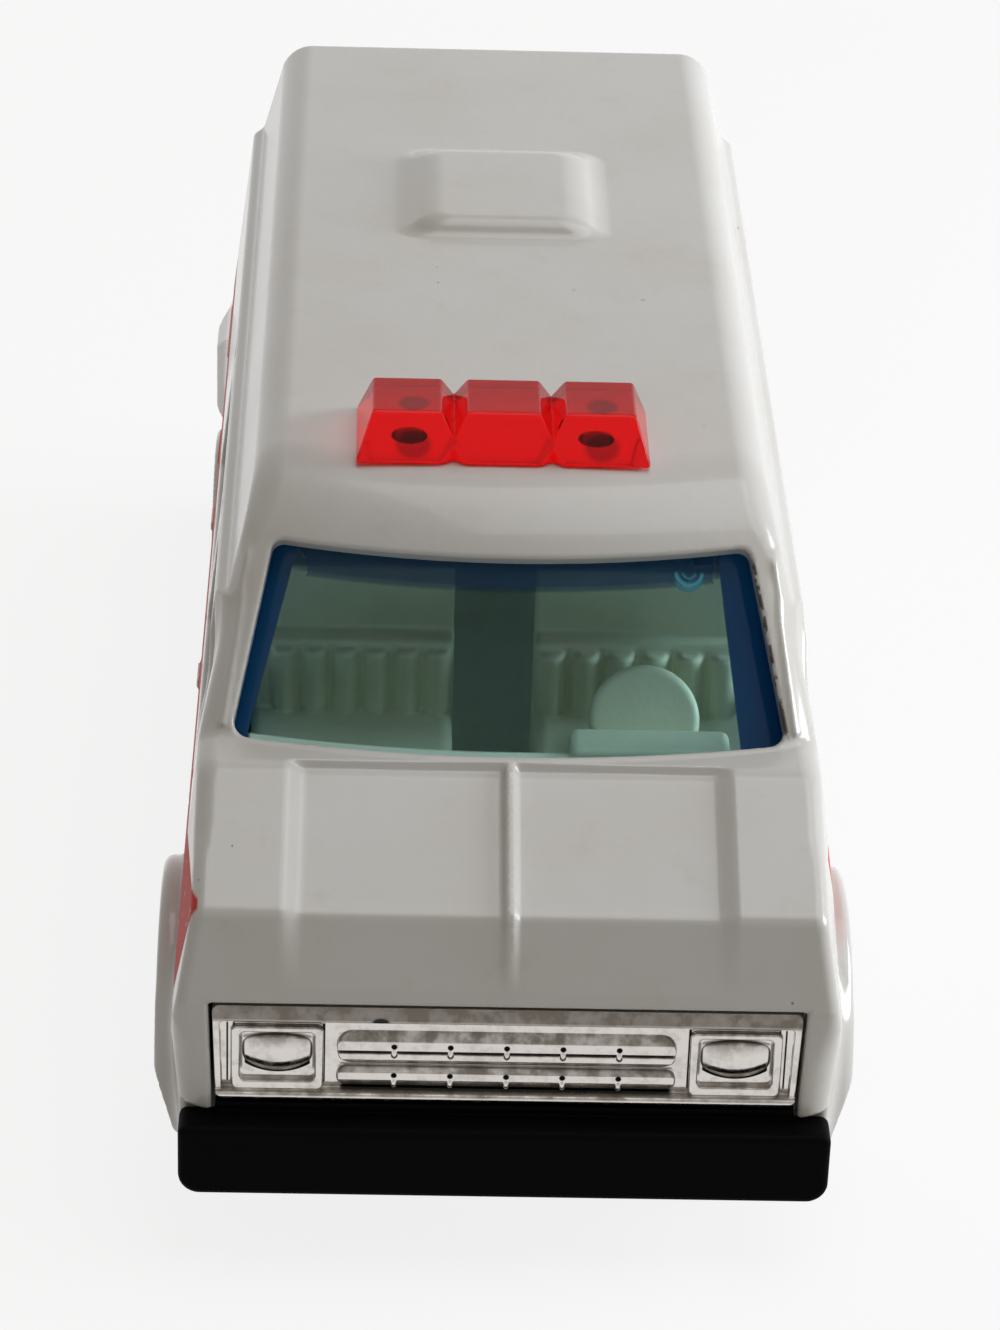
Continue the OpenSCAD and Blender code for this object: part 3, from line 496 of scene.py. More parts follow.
def tinted_clear():
    """Clear where it is looked through squarely, deep blue along its thick edges and where it is seen edge-on."""
    f = Finish("tinted_clear")
    flow = f.noise(3.5, 2)
    skin = f.surface(Base_Color=rgb(2, 74, 124), Roughness=0.06 + f.noise(1.2, 3) * 0.06, IOR=1.45,
                     Specular_IOR_Level=0.3, Normal=f.bump(flow, 0.02))
    lit = f.node("ShaderNodeBsdfTranslucent", {}, Color=rgb(2, 104, 170))["BSDF"]
    deep = f.layer(0.5, skin, lit)
    tint = f.node("ShaderNodeBsdfTransparent", {}, Color=(0.865, 0.97, 0.975, 1))["BSDF"]
    bow = f.x * f.x
    up = up_screen(f.y, f.z)
    rim = (f.z * 0.311 - f.x).step(17.31, 17.39) + (f.x + f.z * 0.16).step(13.19, 13.27)
    head = (up - bow * 0.0089).step(7.95, 8.15) * 0.6
    on_screen = (1 - f.normal()[1].step(-0.5, -0.35)) * (1 - f.y.step(-16, -15))
    edge = rim.most(head) * on_screen
    facing = f.node("ShaderNodeLayerWeight", {}, Blend=0.5)["Facing"]
    gloss = 0.02 + facing.step(0.3, 0.9) * 0.9 * (1 - f.z.step(22.3, 22.8))
    pane = f.layer(edge.most(gloss), tint, deep)
    # Painted highlight: a pale aqua line along the foot of the windscreen's left half stands in for light caught on
    # the pane's lower edge.
    foot = (up - bow * 0.0067).band(0.3, 0.62, 0.05) * (1 - f.x.step(0.5, 3.0)) * f.x.step(-11.5, -11.3)
    # Painted highlight: two pale cyan rings on the mould gate mark near the top of the windscreen stand in for light
    # caught on it.
    from_gate = f.apart(f.x, up, (7.9, 9.0))
    gate_highlight = (from_gate.band(0.5, 0.66, 0.05) + from_gate.band(0.22, 0.32, 0.05) * 0.7) * (1 - up.step(8.85, 9.1))
    painted_highlight = f.surface(Base_Color=f.mix(f.x.step(3, 4), rgb(178, 220, 208), rgb(40, 170, 205)), Roughness=0.25)
    return f.done(f.layer((foot + gate_highlight) * on_screen * 0.85, pane, painted_highlight))


def red_clear():
    """Clear red, with painted shade where the shaded peg holes would show through its faces."""
    f = Finish("red_clear")
    beside = abs(f.x + 4.42).least(abs(f.x - 3.98))
    through_top, through_front = f.apart(beside, f.y + 13.5), f.apart(beside, (f.z - 29.3) * 1.4)
    on_top = f.z.step(30.4, 30.45)
    # Painted shade: dark ovals on the top and front faces stand in for the peg holes seen through the red.
    painted_hole_shade = (1 - through_top.step(0.55, 0.85)) * on_top
    painted_hole_shade = painted_hole_shade + (1 - through_front.step(0.6, 0.95)) * (1 - f.y.step(-14.4, -14.3)) * (1 - on_top)
    colour = f.mix(painted_hole_shade * 0.8, rgb(222, 12, 15), rgb(84, 4, 10))
    return f.done(f.surface(
        Base_Color=colour, Roughness=0.06 + f.noise(0.8, 3) * 0.1, Transmission_Weight=0.92, IOR=1.22,
        Specular_IOR_Level=0.05, Normal=f.bump(f.noise(2.0, 2), 0.015)))


def bright_plating():
    f = Finish("bright_plating")
    dust = f.noise(0.9, 4, 0.65)
    colour = f.mix(dust.step(0.45, 0.7) * 0.55, rgb(214, 214, 216), rgb(150, 146, 140))
    return f.done(f.surface(
        Base_Color=colour, Metallic=1 - dust.step(0.6, 0.75) * 0.3, Roughness=0.12 + dust.step(0.4, 0.75) * 0.3,
        Normal=f.bump(f.noise(0.4, 3), 0.01)))


def nose_plating():
    """Clean plating on upright faces; what faces up is greyed, partly dust and partly a painted reflection of a dim
    ceiling, and painted shade darkens the grooves.
    """
    f = Finish("nose_plating")
    w = abs(f.x)
    off_lamp = abs(w - LAMP_X)
    cloud = f.noise(0.9, 4, 0.65)
    # Faces that look up and the strip along the top are greyed and less metallic: partly dust, partly a painted
    # reflection of a dim ceiling.
    dust = f.normal()[2].step(0.1, 0.6) * (0.4 + cloud.step(0.3, 0.6) * 0.4) + f.z.step(11.45, 11.6) * 0.55
    dust = (dust + cloud.step(0.45, 0.7) * 0.18).least(0.95)
    colour = f.mix(dust, rgb(208, 203, 198), rgb(116, 108, 98))
    # Painted shade: dark lines in the grooves between the bars, beside the lamp frames, under the top strip and round
    # the lenses, with dark dots at the ticks and a dark blot under the top strip.
    lines = f.z.band(9.98, 10.13, 0.02) + f.z.band(8.02, 8.2, 0.02) + f.z.band(9.23, 9.34, 0.02) * 0.6
    posts = w.band(7.76, 7.88, 0.02) + w.band(11.62, 11.7, 0.02) + w.band(11.9, 11.98, 0.02)
    ceiling = f.z.band(11.4, 11.58, 0.03) * (0.3 + w.step(5.0, 7.0) * 0.7)
    ceiling = ceiling * (0.4 + f.noise(0.8, 3).step(0.35, 0.55) * 0.6)
    grooves = lines * (1 - w.step(7.0, 7.2)) + posts * f.z.band(8.3, 11.3, 0.05) + ceiling
    lens_side = (1 - abs(off_lamp - 1.56).step(0.03, 0.1)) * f.z.band(9.0, 10.7, 0.15) * 0.75
    lens_foot = f.apart(w, f.z, (LAMP_X, FOOT_ARC_Z)).band(2.33, 2.47, 0.02)
    lens_foot = lens_foot * off_lamp.band(-1, 1.4, 0.03) * (1 - f.z.step(9.7, 9.9))
    lens_top = f.apart(w, f.z, (LAMP_X, CROWN_ARC_Z)).band(4.3, 4.42, 0.03) * (1 - off_lamp.step(1.4, 1.5)) * 0.6
    turns = f.x * (1 / TICK_PITCH)
    beside = f.x - turns.math("ROUND", turns) * TICK_PITCH
    upper, lower = (f.apart(beside, f.z, (0, at)) for at in (10.37, 8.9))
    holes = (1 - upper.least(lower).step(0.11, 0.15)) * (1 - w.step(5.9, 6.0))
    blot = 1 - f.apart((f.x + 5.4) * 0.55, f.z, (0, 11.55)).step(0.15, 0.26)
    sunk = f.y.step(-34.5, -34.4)
    painted_groove_shade = ((grooves + lens_foot + lens_side + lens_top) * sunk + holes + blot).least(1)
    colour = f.mix(painted_groove_shade, colour, rgb(10, 10, 11))
    return f.done(f.surface(
        Base_Color=colour, Metallic=1 - dust * 0.7, Roughness=0.1 + dust * 0.35 + cloud * 0.05,
        Normal=f.bump(f.noise(0.5, 3), 0.008)))


def cream_moulding():
    f = Finish("cream_moulding")
    cloud = f.noise(5, 4)
    colour = f.mix(cloud.step(0.35, 0.7), rgb(236, 237, 214), rgb(224, 224, 200))
    return f.done(f.surface(Base_Color=colour, Roughness=0.42 + cloud * 0.12, Normal=f.bump(f.noise(0.35, 3), 0.02)))


def black_moulding():
    f = Finish("black_moulding")
    dust = f.noise(1.4, 5, 0.7).step(0.55, 0.8)
    colour = f.mix(dust * 0.25, rgb(2, 2, 2), rgb(16, 16, 15))
    return f.done(f.surface(Base_Color=colour, Roughness=0.55 + dust * 0.2, Specular_IOR_Level=0.03,
                            Normal=f.bump(f.noise(0.3, 3), 0.015)))


def drawn_steel():
    f = Finish("drawn_steel")
    grain = f.noise(0.35, 5, 0.7)
    colour = f.mix(grain.step(0.5, 0.8) * 0.6, rgb(180, 181, 184), rgb(110, 104, 98))
    return f.done(f.surface(Base_Color=colour, Metallic=1.0, Roughness=0.28 + grain * 0.2,
                            Normal=f.bump(grain, 0.01)))


def tyre_moulding():
    f = Finish("tyre_moulding")
    dust = f.noise(0.9, 5, 0.7).step(0.5, 0.8)
    colour = f.mix(dust * 0.5, rgb(24, 24, 25), rgb(66, 63, 59))
    return f.done(f.surface(Base_Color=colour, Roughness=0.55 + dust * 0.2, Normal=f.bump(f.noise(0.25, 3), 0.02)))


# Body casting

def body_sides(x, y, z):
    w = np.abs(x)
    lower = meet(0.15, chain(w, z, SIDE_LINE), right_of(w, z, *GUTTER_LEDGE))
    upper = np.maximum(right_of(w, z, *ROOF_SIDE), GUTTER_ROOT_Z - z)
    return every(join(0.12, lower, upper), nose_taper(w, y, z), pillar_plane(w, y, z))


def nose_taper(w, y, z):
    """A leaning plane that draws the sides in towards the top of the nose."""
    return (w - NOSE_W - NOSE_PULL * (y - CREASE_Y) + NOSE_LEAN * (z - CREASE_Z)) / NOSE_NORMAL


def pillar_plane(w, y, z):
    """A leaning plane that gives the windscreen pillars one straight edge; it runs out behind them."""
    return (w - PILLAR_W + PILLAR_LEAN * (z - COWL_Z)) / PILLAR_NORMAL - 1.2 * smooth(y, -20.5, -15)


def cab_top(x, y, z):
    """Bowed windscreen, brow and roof, round an upright axis behind the cab."""
    slope = 1 / math.tan(SCREEN_RAKE)
    rise = ROOF_Z - COWL_Z
    low = 12.0
    return chain(np.hypot(x, y - BOW_Y), z, [
        (BOW_R + low * slope, COWL_Z - low, 0), (BOW_R - rise * slope, ROOF_Z, BROW_R), (0, ROOF_Z, 0)])


def edge_radius(y, z):
    """Rounding between the sides and the top, fuller on the pillars and the roof and at the foot of the nose."""
    pillar = smooth(z, 18.9, 19.7) * smooth(-z, -25.6, -24.6)
    roof = smooth(z, 25.5, 27.5)
    nose = smooth(-y, 29, 31)
    nose_foot = smooth(-z, -12.5, -9.5) * smooth(-y, 29, 32)
    return 0.7 + 0.3 * pillar + 0.5 * roof - 0.2 * nose + 1.0 * nose_foot


def cab_form(x, y, z):
    """Sides and top of the cab, without the nose."""
    return meet(edge_radius(y, z), body_sides(x, y, z), cab_top(x, y, z))


def van_form(x, y, z):
    top = -meet(1.0, -chain(y, z, NOSE_LINE), -cab_top(x, y, z), 0.75)
    return meet(edge_radius(y, z), body_sides(x, y, z), top)


def bonnet_panels(x, y, z):
    """Depth of the two sunk panels and of nothing elsewhere."""
    w = np.abs(x)
    across = smooth(w, 0.1, 0.45) * smooth(-w, -9.8, -8.8)
    start = smooth(COWL_Y - y, -0.5, -0.2)
    fade = np.clip((z - 13.1) / 3.1, 0, 1)
    return 0.35 * across * start * fade


def pillar_bead(x, y, z):
    """Raised bead beside the windscreen, running out from the corner towards its foot."""
    inward = 0.3 + 0.45 * np.clip((26 - z) / 6, 0, 1)
    ends = smooth(z, 19.5, 19.8) * smooth(-z, -26.0, -25.4)
    return 0.16 * ridge(body_sides(x, y, z) + inward, 0.2) * ends * smooth(-y, 15, 17)


DOOR_LINES = [
    [(DOOR_Y, DOOR_TOP_Z), (DOOR_Y, 5.2)],
    [DOOR_NOSE, (-21.0, 13.5), (-18.8, 11.0)],
    [DOOR_NOSE, (-17.6, DOOR_TOP_Z), (DOOR_Y, DOOR_TOP_Z)],
    [(-18.2, DOOR_FOOT_Z), (DOOR_Y, DOOR_FOOT_Z)],
    [(DOOR_Y, DOOR_TOP_Z), (LOAD_DOOR_Y, DOOR_TOP_Z), (LOAD_DOOR_Y, DOOR_FOOT_Z), (DOOR_Y, DOOR_FOOT_Z)]]


def shut_lines(y, z):
    gap = either(*(from_path(y, z, path) for path in DOOR_LINES))
    return 0.16 * ridge(gap, 0.17)


def arch_band(w, y, z, axle_y, width, proud):
    """Raised border round a wheel arch."""
    rho = np.hypot(y - axle_y, z - AXLE_Z)
    out_x = HALF_W + proud
    band = meet(0.45, rho - ARCH_R - width, w - out_x)
    band = meet(0.8, band, right_of(w, z, (SILL_W, SILL_Z), (out_x, 7.4)), 0.9)
    return np.maximum(band, ROOT_X - w)


def tail_lamp(w, y, z):
    out_x, low, top, front = 15.05, 7.55, 13.35, TAIL_Y - 4.6
    lens = common(0.45, w - out_x, low - z, y - TAIL_Y)
    lens = meet(0.6, lens, right_of(w, z, (out_x, top - 1.8), (14.1, top)), 0.9)
    lens = meet(0.6, lens, right_of(w, y, (HALF_W, front), (out_x, front + 1.8)), 0.9)
    return np.maximum(lens, ROOT_X - w)


def roof_hatch(x, y, z):
    front = right_of(HATCH_Y - y, z, (5.4, ROOF_Z), (4.8, HATCH_TOP_Z))
    rear = right_of(y - HATCH_Y, z, (5.4, ROOF_Z), (4.2, HATCH_TOP_Z))
    sides = right_of(np.abs(x), z, (4.9, ROOF_Z), (3.7, HATCH_TOP_Z))
    slopes = meet(0.7, sides, np.maximum(front, rear))
    return np.maximum(meet(0.4, slopes, z - HATCH_TOP_Z), ROOF_Z - 0.8 - z)


def side_handles(w, y, z):
    return either(*(block(w, y, z, (13.7, at, 14.05), (14.28, at + 1.9, 14.55), 0.12) for at in HANDLES_Y))


def screen_opening(x, y, z):
    up = up_screen(y, z)
    out = (z - COWL_Z) * math.cos(SCREEN_RAKE) - (y - SCREEN_Y) * math.sin(SCREEN_RAKE)
    foot_half, head_half = 12.2, 10.6
    sides = right_of(np.abs(x), up, (foot_half, 1.2), (head_half, 9.45))
    opening = meet(0.8, sides, 0.2 + (x / foot_half) ** 2 - up)
    opening = meet(0.5, opening, up - 9.05 - 1.0 * (x / head_half) ** 2)
    return np.maximum(opening, np.abs(out) - 3)


def side_windows(w, y, z):
    front = plate(y, z, (-30, WINDOW_LOW_Z), (-9.25, WINDOW_TOP_Z), WINDOW_R)
    front = meet(WINDOW_R, front, right_of(y, z, (-17.72, WINDOW_TOP_Z), (-21.85, WINDOW_LOW_Z)))
    rear = plate(y, z, (-6.65, WINDOW_LOW_Z), (6.85, WINDOW_TOP_Z), WINDOW_R)
    return np.maximum(np.minimum(front, rear), 9.0 - w)


def grille_opening(w, y, z):
    return every(right_of(w, z, *GRILLE_SIDE), z - GRILLE_TOP_Z, y + 32.7)


def arch_openings(w, y, z):
    rho = either(*(np.hypot(y - a, z - AXLE_Z) for a in (FRONT_AXLE_Y, REAR_AXLE_Y)))
    return np.maximum(rho - ARCH_R, BEARING_OUT_X - w)


def rear_openings(w, y, z):
    doorway = every(np.abs(z - 16.75) - 8.45, w - 11.0, 32.5 - y)
    hinges = every(np.hypot(w - HINGE_X, y - HINGE_Y) - 0.5, np.abs(z - 16.7) - 9.5)
    return np.minimum(doorway, hinges)


def bumper_room(y, z):
    return np.maximum(z - BUMPER_ROOM_Z, either(y + 34.15, 33.3 - y))


def fixing_posts(x, y, z, form):
    top_z = 8.0
    front = np.maximum(np.hypot(x, y - POST_FRONT_Y) - POST_R, form + WALL / 2)
    rear = np.maximum(np.hypot(x, y - POST_REAR_Y) - POST_R, z - top_z)
    web = every(np.abs(x) - 3.0, POST_REAR_Y - y, y - 34.8, z - top_z, BUMPER_ROOM_Z - z)
    return either(front, rear, web)


def small_bores(x, y, z):
    pegs = np.maximum(from_pegs(x, y) - PEG_BORE_R, 26.8 - z)
    rivets = np.maximum(from_posts(x, y) - RIVET_BORE_R, z - 7.55)
    return np.minimum(pegs, rivets)


def body_casting(x, y, z):
    w = np.abs(x)
    form = van_form(x, y, z)
    skin = form + bonnet_panels(x, y, z) - pillar_bead(x, y, z) + shut_lines(y, z) * smooth(w, 11.0, 11.6)
    skin = meet(0.5, skin, y - TAIL_Y)
    into_nose = 0.1 + 1.3 * smooth(-z, -12.5, -9.5) * smooth(-y, 28, 31)
    flare = arch_band(w, y, z, FRONT_AXLE_Y, 1.05, FLARE_PROUD)
    solid = np.maximum(join(into_nose, skin, flare), w - HALF_W - FLARE_PROUD)
    solid = join(0.1, solid, arch_band(w, y, z, REAR_AXLE_Y, 0.6, 0.2))
    solid = join(0.3, solid, tail_lamp(w, y, z), roof_hatch(x, y, z))
    solid = join(0.06, solid, side_handles(w, y, z))
    hollow = np.maximum(form + WALL, y - (TAIL_Y - REAR_WALL))
    shell = np.minimum(cut(0.0, solid, hollow), fixing_posts(x, y, z, form))
    openings = either(screen_opening(x, y, z), side_windows(w, y, z), grille_opening(w, y, z),
                      arch_openings(w, y, z), rear_openings(w, y, z), bumper_room(y, z),
                      small_bores(x, y, z), z - SILL_Z)
    return cut(0.2, shell, openings)


# Glazing, light bar and plated nose

def window_moulding(x, y, z):
    inset = cab_form(x, y, z) + WALL + 0.05
    pane = common(0.08, inset, -(inset + 0.9))
    hem = np.where(y < -21.5, 16.4, 12.6) - z
    pane = common(0.08, pane, hem, y - 7.85)
    return np.maximum(pane, PEG_ROOM_R - from_pegs(x, y))


def notch(u, v, edge, root):
    """Room between two lamp blocks, from their edge down to its root."""
    near, mid, far = 1.6, 2.2, 2.8
    return np.maximum(right_of(u, v, (near, edge), (mid, root)), right_of(u, v, (mid, root), (far, edge)))


def lamp_bar(x, y, z):
    """Three blocks parted by notches across the top and down the faces, with two pegs."""
    u, v = np.abs(x - BAR_X), np.abs(y - BAR_Y)
    ends, faces = right_of(u, z, (6.6, ROOF_Z), (5.85, BAR_TOP_Z)), right_of(v, z, (2.9, ROOF_Z), (1.75, BAR_TOP_Z))
    blocks = common(0.14, ends, faces, z - BAR_TOP_Z, BAR_Z - z)
    bar = cut(0.1, blocks, np.minimum(notch(u, z, BAR_TOP_Z, 29.55), notch(u, v, 2.9, 2.45)))
    return either(bar, *(post(x, y, z, p, 25.4, 29.0, PEG_R, 0.15) for p in PEGS))


GRILLE_Y = -34.3
LAMP_X, TICK_PITCH, BARS_HALF, ROOT_OUT = 9.8, 2.405, 7.25, -0.4
FOOT_ARC_Z, FOOT_ARC_R, CROWN_ARC_Z, CROWN_ARC_R = 11.27, 2.36, 6.48, 4.32
RIBS = [
    [(-1, 10.13, 0), (0.36, 10.13, 0.05), (0.33, 10.6, 0.1), (0, 11.0, 0.1), (-1, 11.0, 0)],
    [(-1, 9.36, 0), (0.08, 9.36, 0.05), (0.3, 9.66, 0.1), (0.3, 9.98, 0.06), (-1, 9.98, 0)],
    [(-1, 8.2, 0), (0.05, 8.2, 0.05), (0.34, 8.64, 0.1), (0.34, 9.02, 0.08), (0.1, 9.22, 0.05), (-1, 9.22, 0)]]


def lamp_face(w, out, z):
    """One lamp: a raised square border round a sunk field, and in it a barrel-shaped lens."""
    across = w - LAMP_X
    border = meet(0.12, plate(across, z, (-1.98, 8.0), (1.98, 11.25), 0.3), out - 0.3)
    field = plate(across, z, (-1.6, 8.5), (1.6, 10.95), 0.25)
    border = cut(0.1, border, np.maximum(field, 0.02 - out))
    outline = common(0.25, np.hypot(across, z - FOOT_ARC_Z) - FOOT_ARC_R,
                     np.hypot(across, z - CROWN_ARC_Z) - CROWN_ARC_R, np.abs(across) - 1.48)
    crown = 0.44 - across ** 2 / 6.4 - (z - 9.95) ** 2 / 3.4
    return border, np.maximum(meet(0.1, outline, out - crown), ROOT_OUT - out)


def plated_nose(x, y, z):
    w, out = np.abs(x), GRILLE_Y - y
    edge = common(0.3, right_of(w, z, *GRILLE_SIDE) + 0.15, z - 12.2, 7.65 - z)
    back = common(0.06, edge, out - 0.3, -0.9 - out)
    inner = common(0.2, edge + 0.3, z - 11.5)
    face = cut(0.07, back, np.maximum(inner, -out))
    top_slope = right_of(out, z, (0.32, 11.55), (0.1, 12.2))
    face = np.maximum(face, np.where(z > 11.3, top_slope, -1.0))
    lip = meet(0.16, np.maximum(edge, z - 8.02), out - 0.55)
    lip = np.maximum(lip, ROOT_OUT - out)
    border, lens = lamp_face(w, out, z)
    top_rib, middle_rib, low_rib = (chain(out, z, rib) for rib in RIBS)
    upper_bars = meet(0.1, either(top_rib, middle_rib), plate(x, z, (-BARS_HALF, 9.3), (BARS_HALF, 11.05), 0.8))
    lower_bar = meet(0.1, low_rib, plate(x, z, (-BARS_HALF, 8.15), (BARS_HALF, 9.27), 0.5))
    ribs = np.maximum(np.minimum(upper_bars, lower_bar), ROOT_OUT - out)
    beside = np.abs(w - TICK_PITCH * np.round(w / TICK_PITCH))
    drops = either(*(np.sqrt(beside ** 2 + ((z - h) * 0.6) ** 2 + (out - 0.26) ** 2) - 0.15 for h in (10.02, 8.5)))
    ticks = np.maximum(drops, w - 6)
    return np.maximum(join(0.04, face, lip, border, lens, ribs, ticks), -0.9 - out)


# Cab and load floor

TUB_Z, TUB_HALF = 7.4, 10.45
SEAT_Y, SEAT_BACK_Z, CUSHION_Z, SEAT_HALF, SEAT_OUT = -14.4, 19.0, 15.4, 10.8, 11.6
PARTITION_Z, LEFT_AISLE, RIGHT_AISLE = 22.2, 1.35, 2.35
BULKHEAD_Y, SHELF_Z = -22.2, 17.3


def seat(w, y, z, aisle):
    """One seat with its pleated back, from the aisle out to the side."""
    back = block(w, y, z, (aisle, SEAT_Y, TUB_Z), (SEAT_OUT, SEAT_Y + 1.4, SEAT_BACK_Z), 0.3)
    pitch = (SEAT_HALF - aisle) / 6
    beside = np.abs(np.mod(w - aisle, pitch) - pitch / 2)
    pleat = np.hypot(beside, y - SEAT_Y) - 0.42 * pitch
    pleats = common(0.3, pleat, np.abs(z - 17.0) - 1.6, np.abs(w - (aisle + SEAT_HALF) / 2) - (SEAT_HALF - aisle) / 2)
    cushion = block(w, y, z, (aisle, SEAT_Y - 4.6, TUB_Z), (SEAT_OUT, SEAT_Y + 0.5, CUSHION_Z), 0.6)
    partition = block(w, y, z, (aisle, SEAT_Y + 1.1, TUB_Z), (SEAT_OUT, SEAT_Y + 2.0, PARTITION_Z), 0.2)
    side = right_of(w, z, (11.65, 15.5), (10.95, PARTITION_Z))
    return meet(0.2, join(0.2, back, pleats, cushion, partition), side)


def bulkhead(x, y, z):
    """Wall in front of the seats, with a shelf that follows the bow of the windscreen."""
    room = cab_form(x, y, z) + WALL + 1.0
    rear = -21.4
    wall = block(x, y, z, (-TUB_HALF, BULKHEAD_Y, TUB_Z), (TUB_HALF, rear, SHELF_Z), 0.1)
    shelf = block(x, y, z, (-TUB_HALF, FRONT_Y, SHELF_Z - 0.8), (TUB_HALF, rear, SHELF_Z), 0.1)
    return meet(0.1, room, np.minimum(wall, shelf))


def steering(x, y, z):
    """A solid wheel on a leaning column."""
    tilt = math.radians(55)
    dy, dz = y + 18.6, z - 17.4
    along = dz * math.cos(tilt) - dy * math.sin(tilt)
    across = np.hypot(x - 6.2, dy * math.cos(tilt) + dz * math.sin(tilt))
    disc = meet(0.38, across - 2.5, np.abs(along - 0.4) - 0.4)
    column = np.maximum(across - 0.8, np.abs(along + 1.3) - 1.4)
    foot = block(x, y, z, (4.8, -20.1, TUB_Z), (7.6, -17.8, 14.9), 0.2)
    return either(disc, column, foot)


def cab_floor(x, y, z):
    rear = 29.9
    floor = block(x, y, z, (-TUB_HALF, BULKHEAD_Y, TUB_Z), (TUB_HALF, rear, TUB_Z + 0.8), 0.12)
    rails = block(np.abs(x), y, z, (TUB_HALF - 0.8, -12.4, TUB_Z), (TUB_HALF, rear, TUB_Z + 2.4), 0.15)
    dash = block(x, y, z, (2.8, BULKHEAD_Y, TUB_Z), (9.95, -20.0, 17.9), 0.4)
    return join(0.12, floor, rails, seat(x, y, z, LEFT_AISLE), seat(-x, y, z, RIGHT_AISLE), bulkhead(x, y, z), dash,
                steering(x, y, z))


# Base with bumpers, bearings and spring pads

BASE_Z, SHEET_Z = 3.6, 4.1
BUMPER_HALF, BUMPER_Y, BUMPER_REACH = 14.0, 35.25, 0.95


def bumper(w, y, z, end):
    face = chain(w, z, [(-30, BASE_Z, 0), (BUMPER_HALF, BASE_Z, 0.95), (BUMPER_HALF, BUMPER_TOP_Z, 0.4),
                        (-30, BUMPER_TOP_Z, 0)])
    return meet(0.3, face, np.abs(y - end * BUMPER_Y) - BUMPER_REACH)


def bearings(w, y, z, axle_y):
    """Blocks with a slot, open at the top, that the axle rides in."""
    body = block(w, y, z, (9.4, axle_y - 2, SHEET_Z), (BEARING_OUT_X, axle_y + 2, TUB_Z - 0.01), 0.1)
    slot = np.where(z < AXLE_Z, np.hypot(y - axle_y, z - AXLE_Z), np.abs(y - axle_y)) - AXLE_BORE_R
    return np.maximum(body, -slot)


def spring_pad(x, y, z, low):
    pad = block(x, y, z, (-1.5, low, SHEET_Z), (1.5, low + 2.4, 6.4), 0.1)
    return np.minimum(pad, post(x, y, z, (0, low + 1.2), 5.3, 6.95, 0.5, 0.1))


def base_moulding(x, y, z):
    w = np.abs(x)
    sheet = common(0.2, plate(x, y, (-13.5, -35.2), (13.5, 35.2), 0.5), np.abs(z - SHEET_Z) - 0.5)
    wells = either(*(plate(w, y, (BEARING_OUT_X, a - ARCH_R), (20, a + ARCH_R), 0.5)
                     for a in (FRONT_AXLE_Y, REAR_AXLE_Y)))
    sheet = cut(0.15, sheet, wells)
    valance = block(x, y, z, (-12.45, -34.8, BASE_Z), (12.45, -33.1, 7.5), 0.12)
    rear_block = block(x, y, z, (-12.5, 33.3, BASE_Z), (12.5, 35.7, BUMPER_TOP_Z), 0.12)
    base = either(sheet, bumper(w, y, z, -1), bumper(w, y, z, 1), valance, rear_block,
                  bearings(w, y, z, FRONT_AXLE_Y), bearings(w, y, z, REAR_AXLE_Y),
                  spring_pad(x, y, z, FRONT_AXLE_Y + 5), spring_pad(x, y, z, REAR_AXLE_Y - 7.4))
    rivet = from_posts(x, y)
    return cut(0.04, base, np.minimum(rivet - RIVET_BORE_R, np.maximum(rivet - 1.75, z - SHEET_Z)))


# Wheels, written for the front left one

def round_axle(y, z):
    """Distance from the axle and angle round it."""
    dy, dz = y - FRONT_AXLE_Y, z - AXLE_Z
    return np.hypot(dy, dz), np.arctan2(dz, dy)


def tyre_ring(x, y, z):
    rho, angle = round_axle(y, z)
    mid = (TYRE_IN_X + TYRE_OUT_X) / 2
    ring = meet(0.7, rho - WHEEL_R, np.abs(x - mid) - (TYRE_OUT_X - TYRE_IN_X) / 2)
    ring = meet(0.3, ring, HUB_R - rho)
    sidewall = ridge(rho - 4.15, 0.3) * 0.12 * smooth(np.abs(x - mid), 1.2, 1.5)
    grooves = sum(ridge(x - mid - k * 0.7, 0.14) for k in (-1, 0, 1)) * 0.2
    shoulder = smooth(np.cos(angle * 40), 0.2, 0.7) * smooth(np.abs(x - mid), 0.85, 1.0) * 0.14
    return ring + sidewall + (grooves + shoulder) * smooth(rho, 4.7, 4.95)


def hub_disc(x, y, z):
    rho, angle = round_axle(y, z)
    disc = every(rho - HUB_R + 0.01, x - HUB_FACE_X, TYRE_IN_X + 0.2 - x)
    dish = meet(0.1, right_of(rho, x, (2.6, HUB_FACE_X - 1), (2.9, HUB_FACE_X)), HUB_FACE_X - 1 - x)
    well = np.maximum(rho - 2.9, x - TYRE_IN_X - 0.5)
    rim = cut(0.12, disc, dish, well)
    boss = meet(0.12, rho - 1.5, np.abs(x - 12.3) - 1.5)
    back_boss = every(rho - 1.8, HUB_IN_X - x, x - 12.5)
    turn = np.mod(angle + math.pi / 2, 2 * math.pi / 5) - math.pi / 5
    hole = np.hypot(rho * np.cos(turn) - 2.15, rho * np.sin(turn)) - 0.42
    hub = join(0.12, cut(0.08, rim, np.maximum(hole, 12.2 - x)), boss)
    bore = np.minimum(rho - AXLE_BORE_R, np.maximum(rho - 1.1, 13.6 - x))
    return cut(0.04, np.minimum(hub, back_boss), bore)


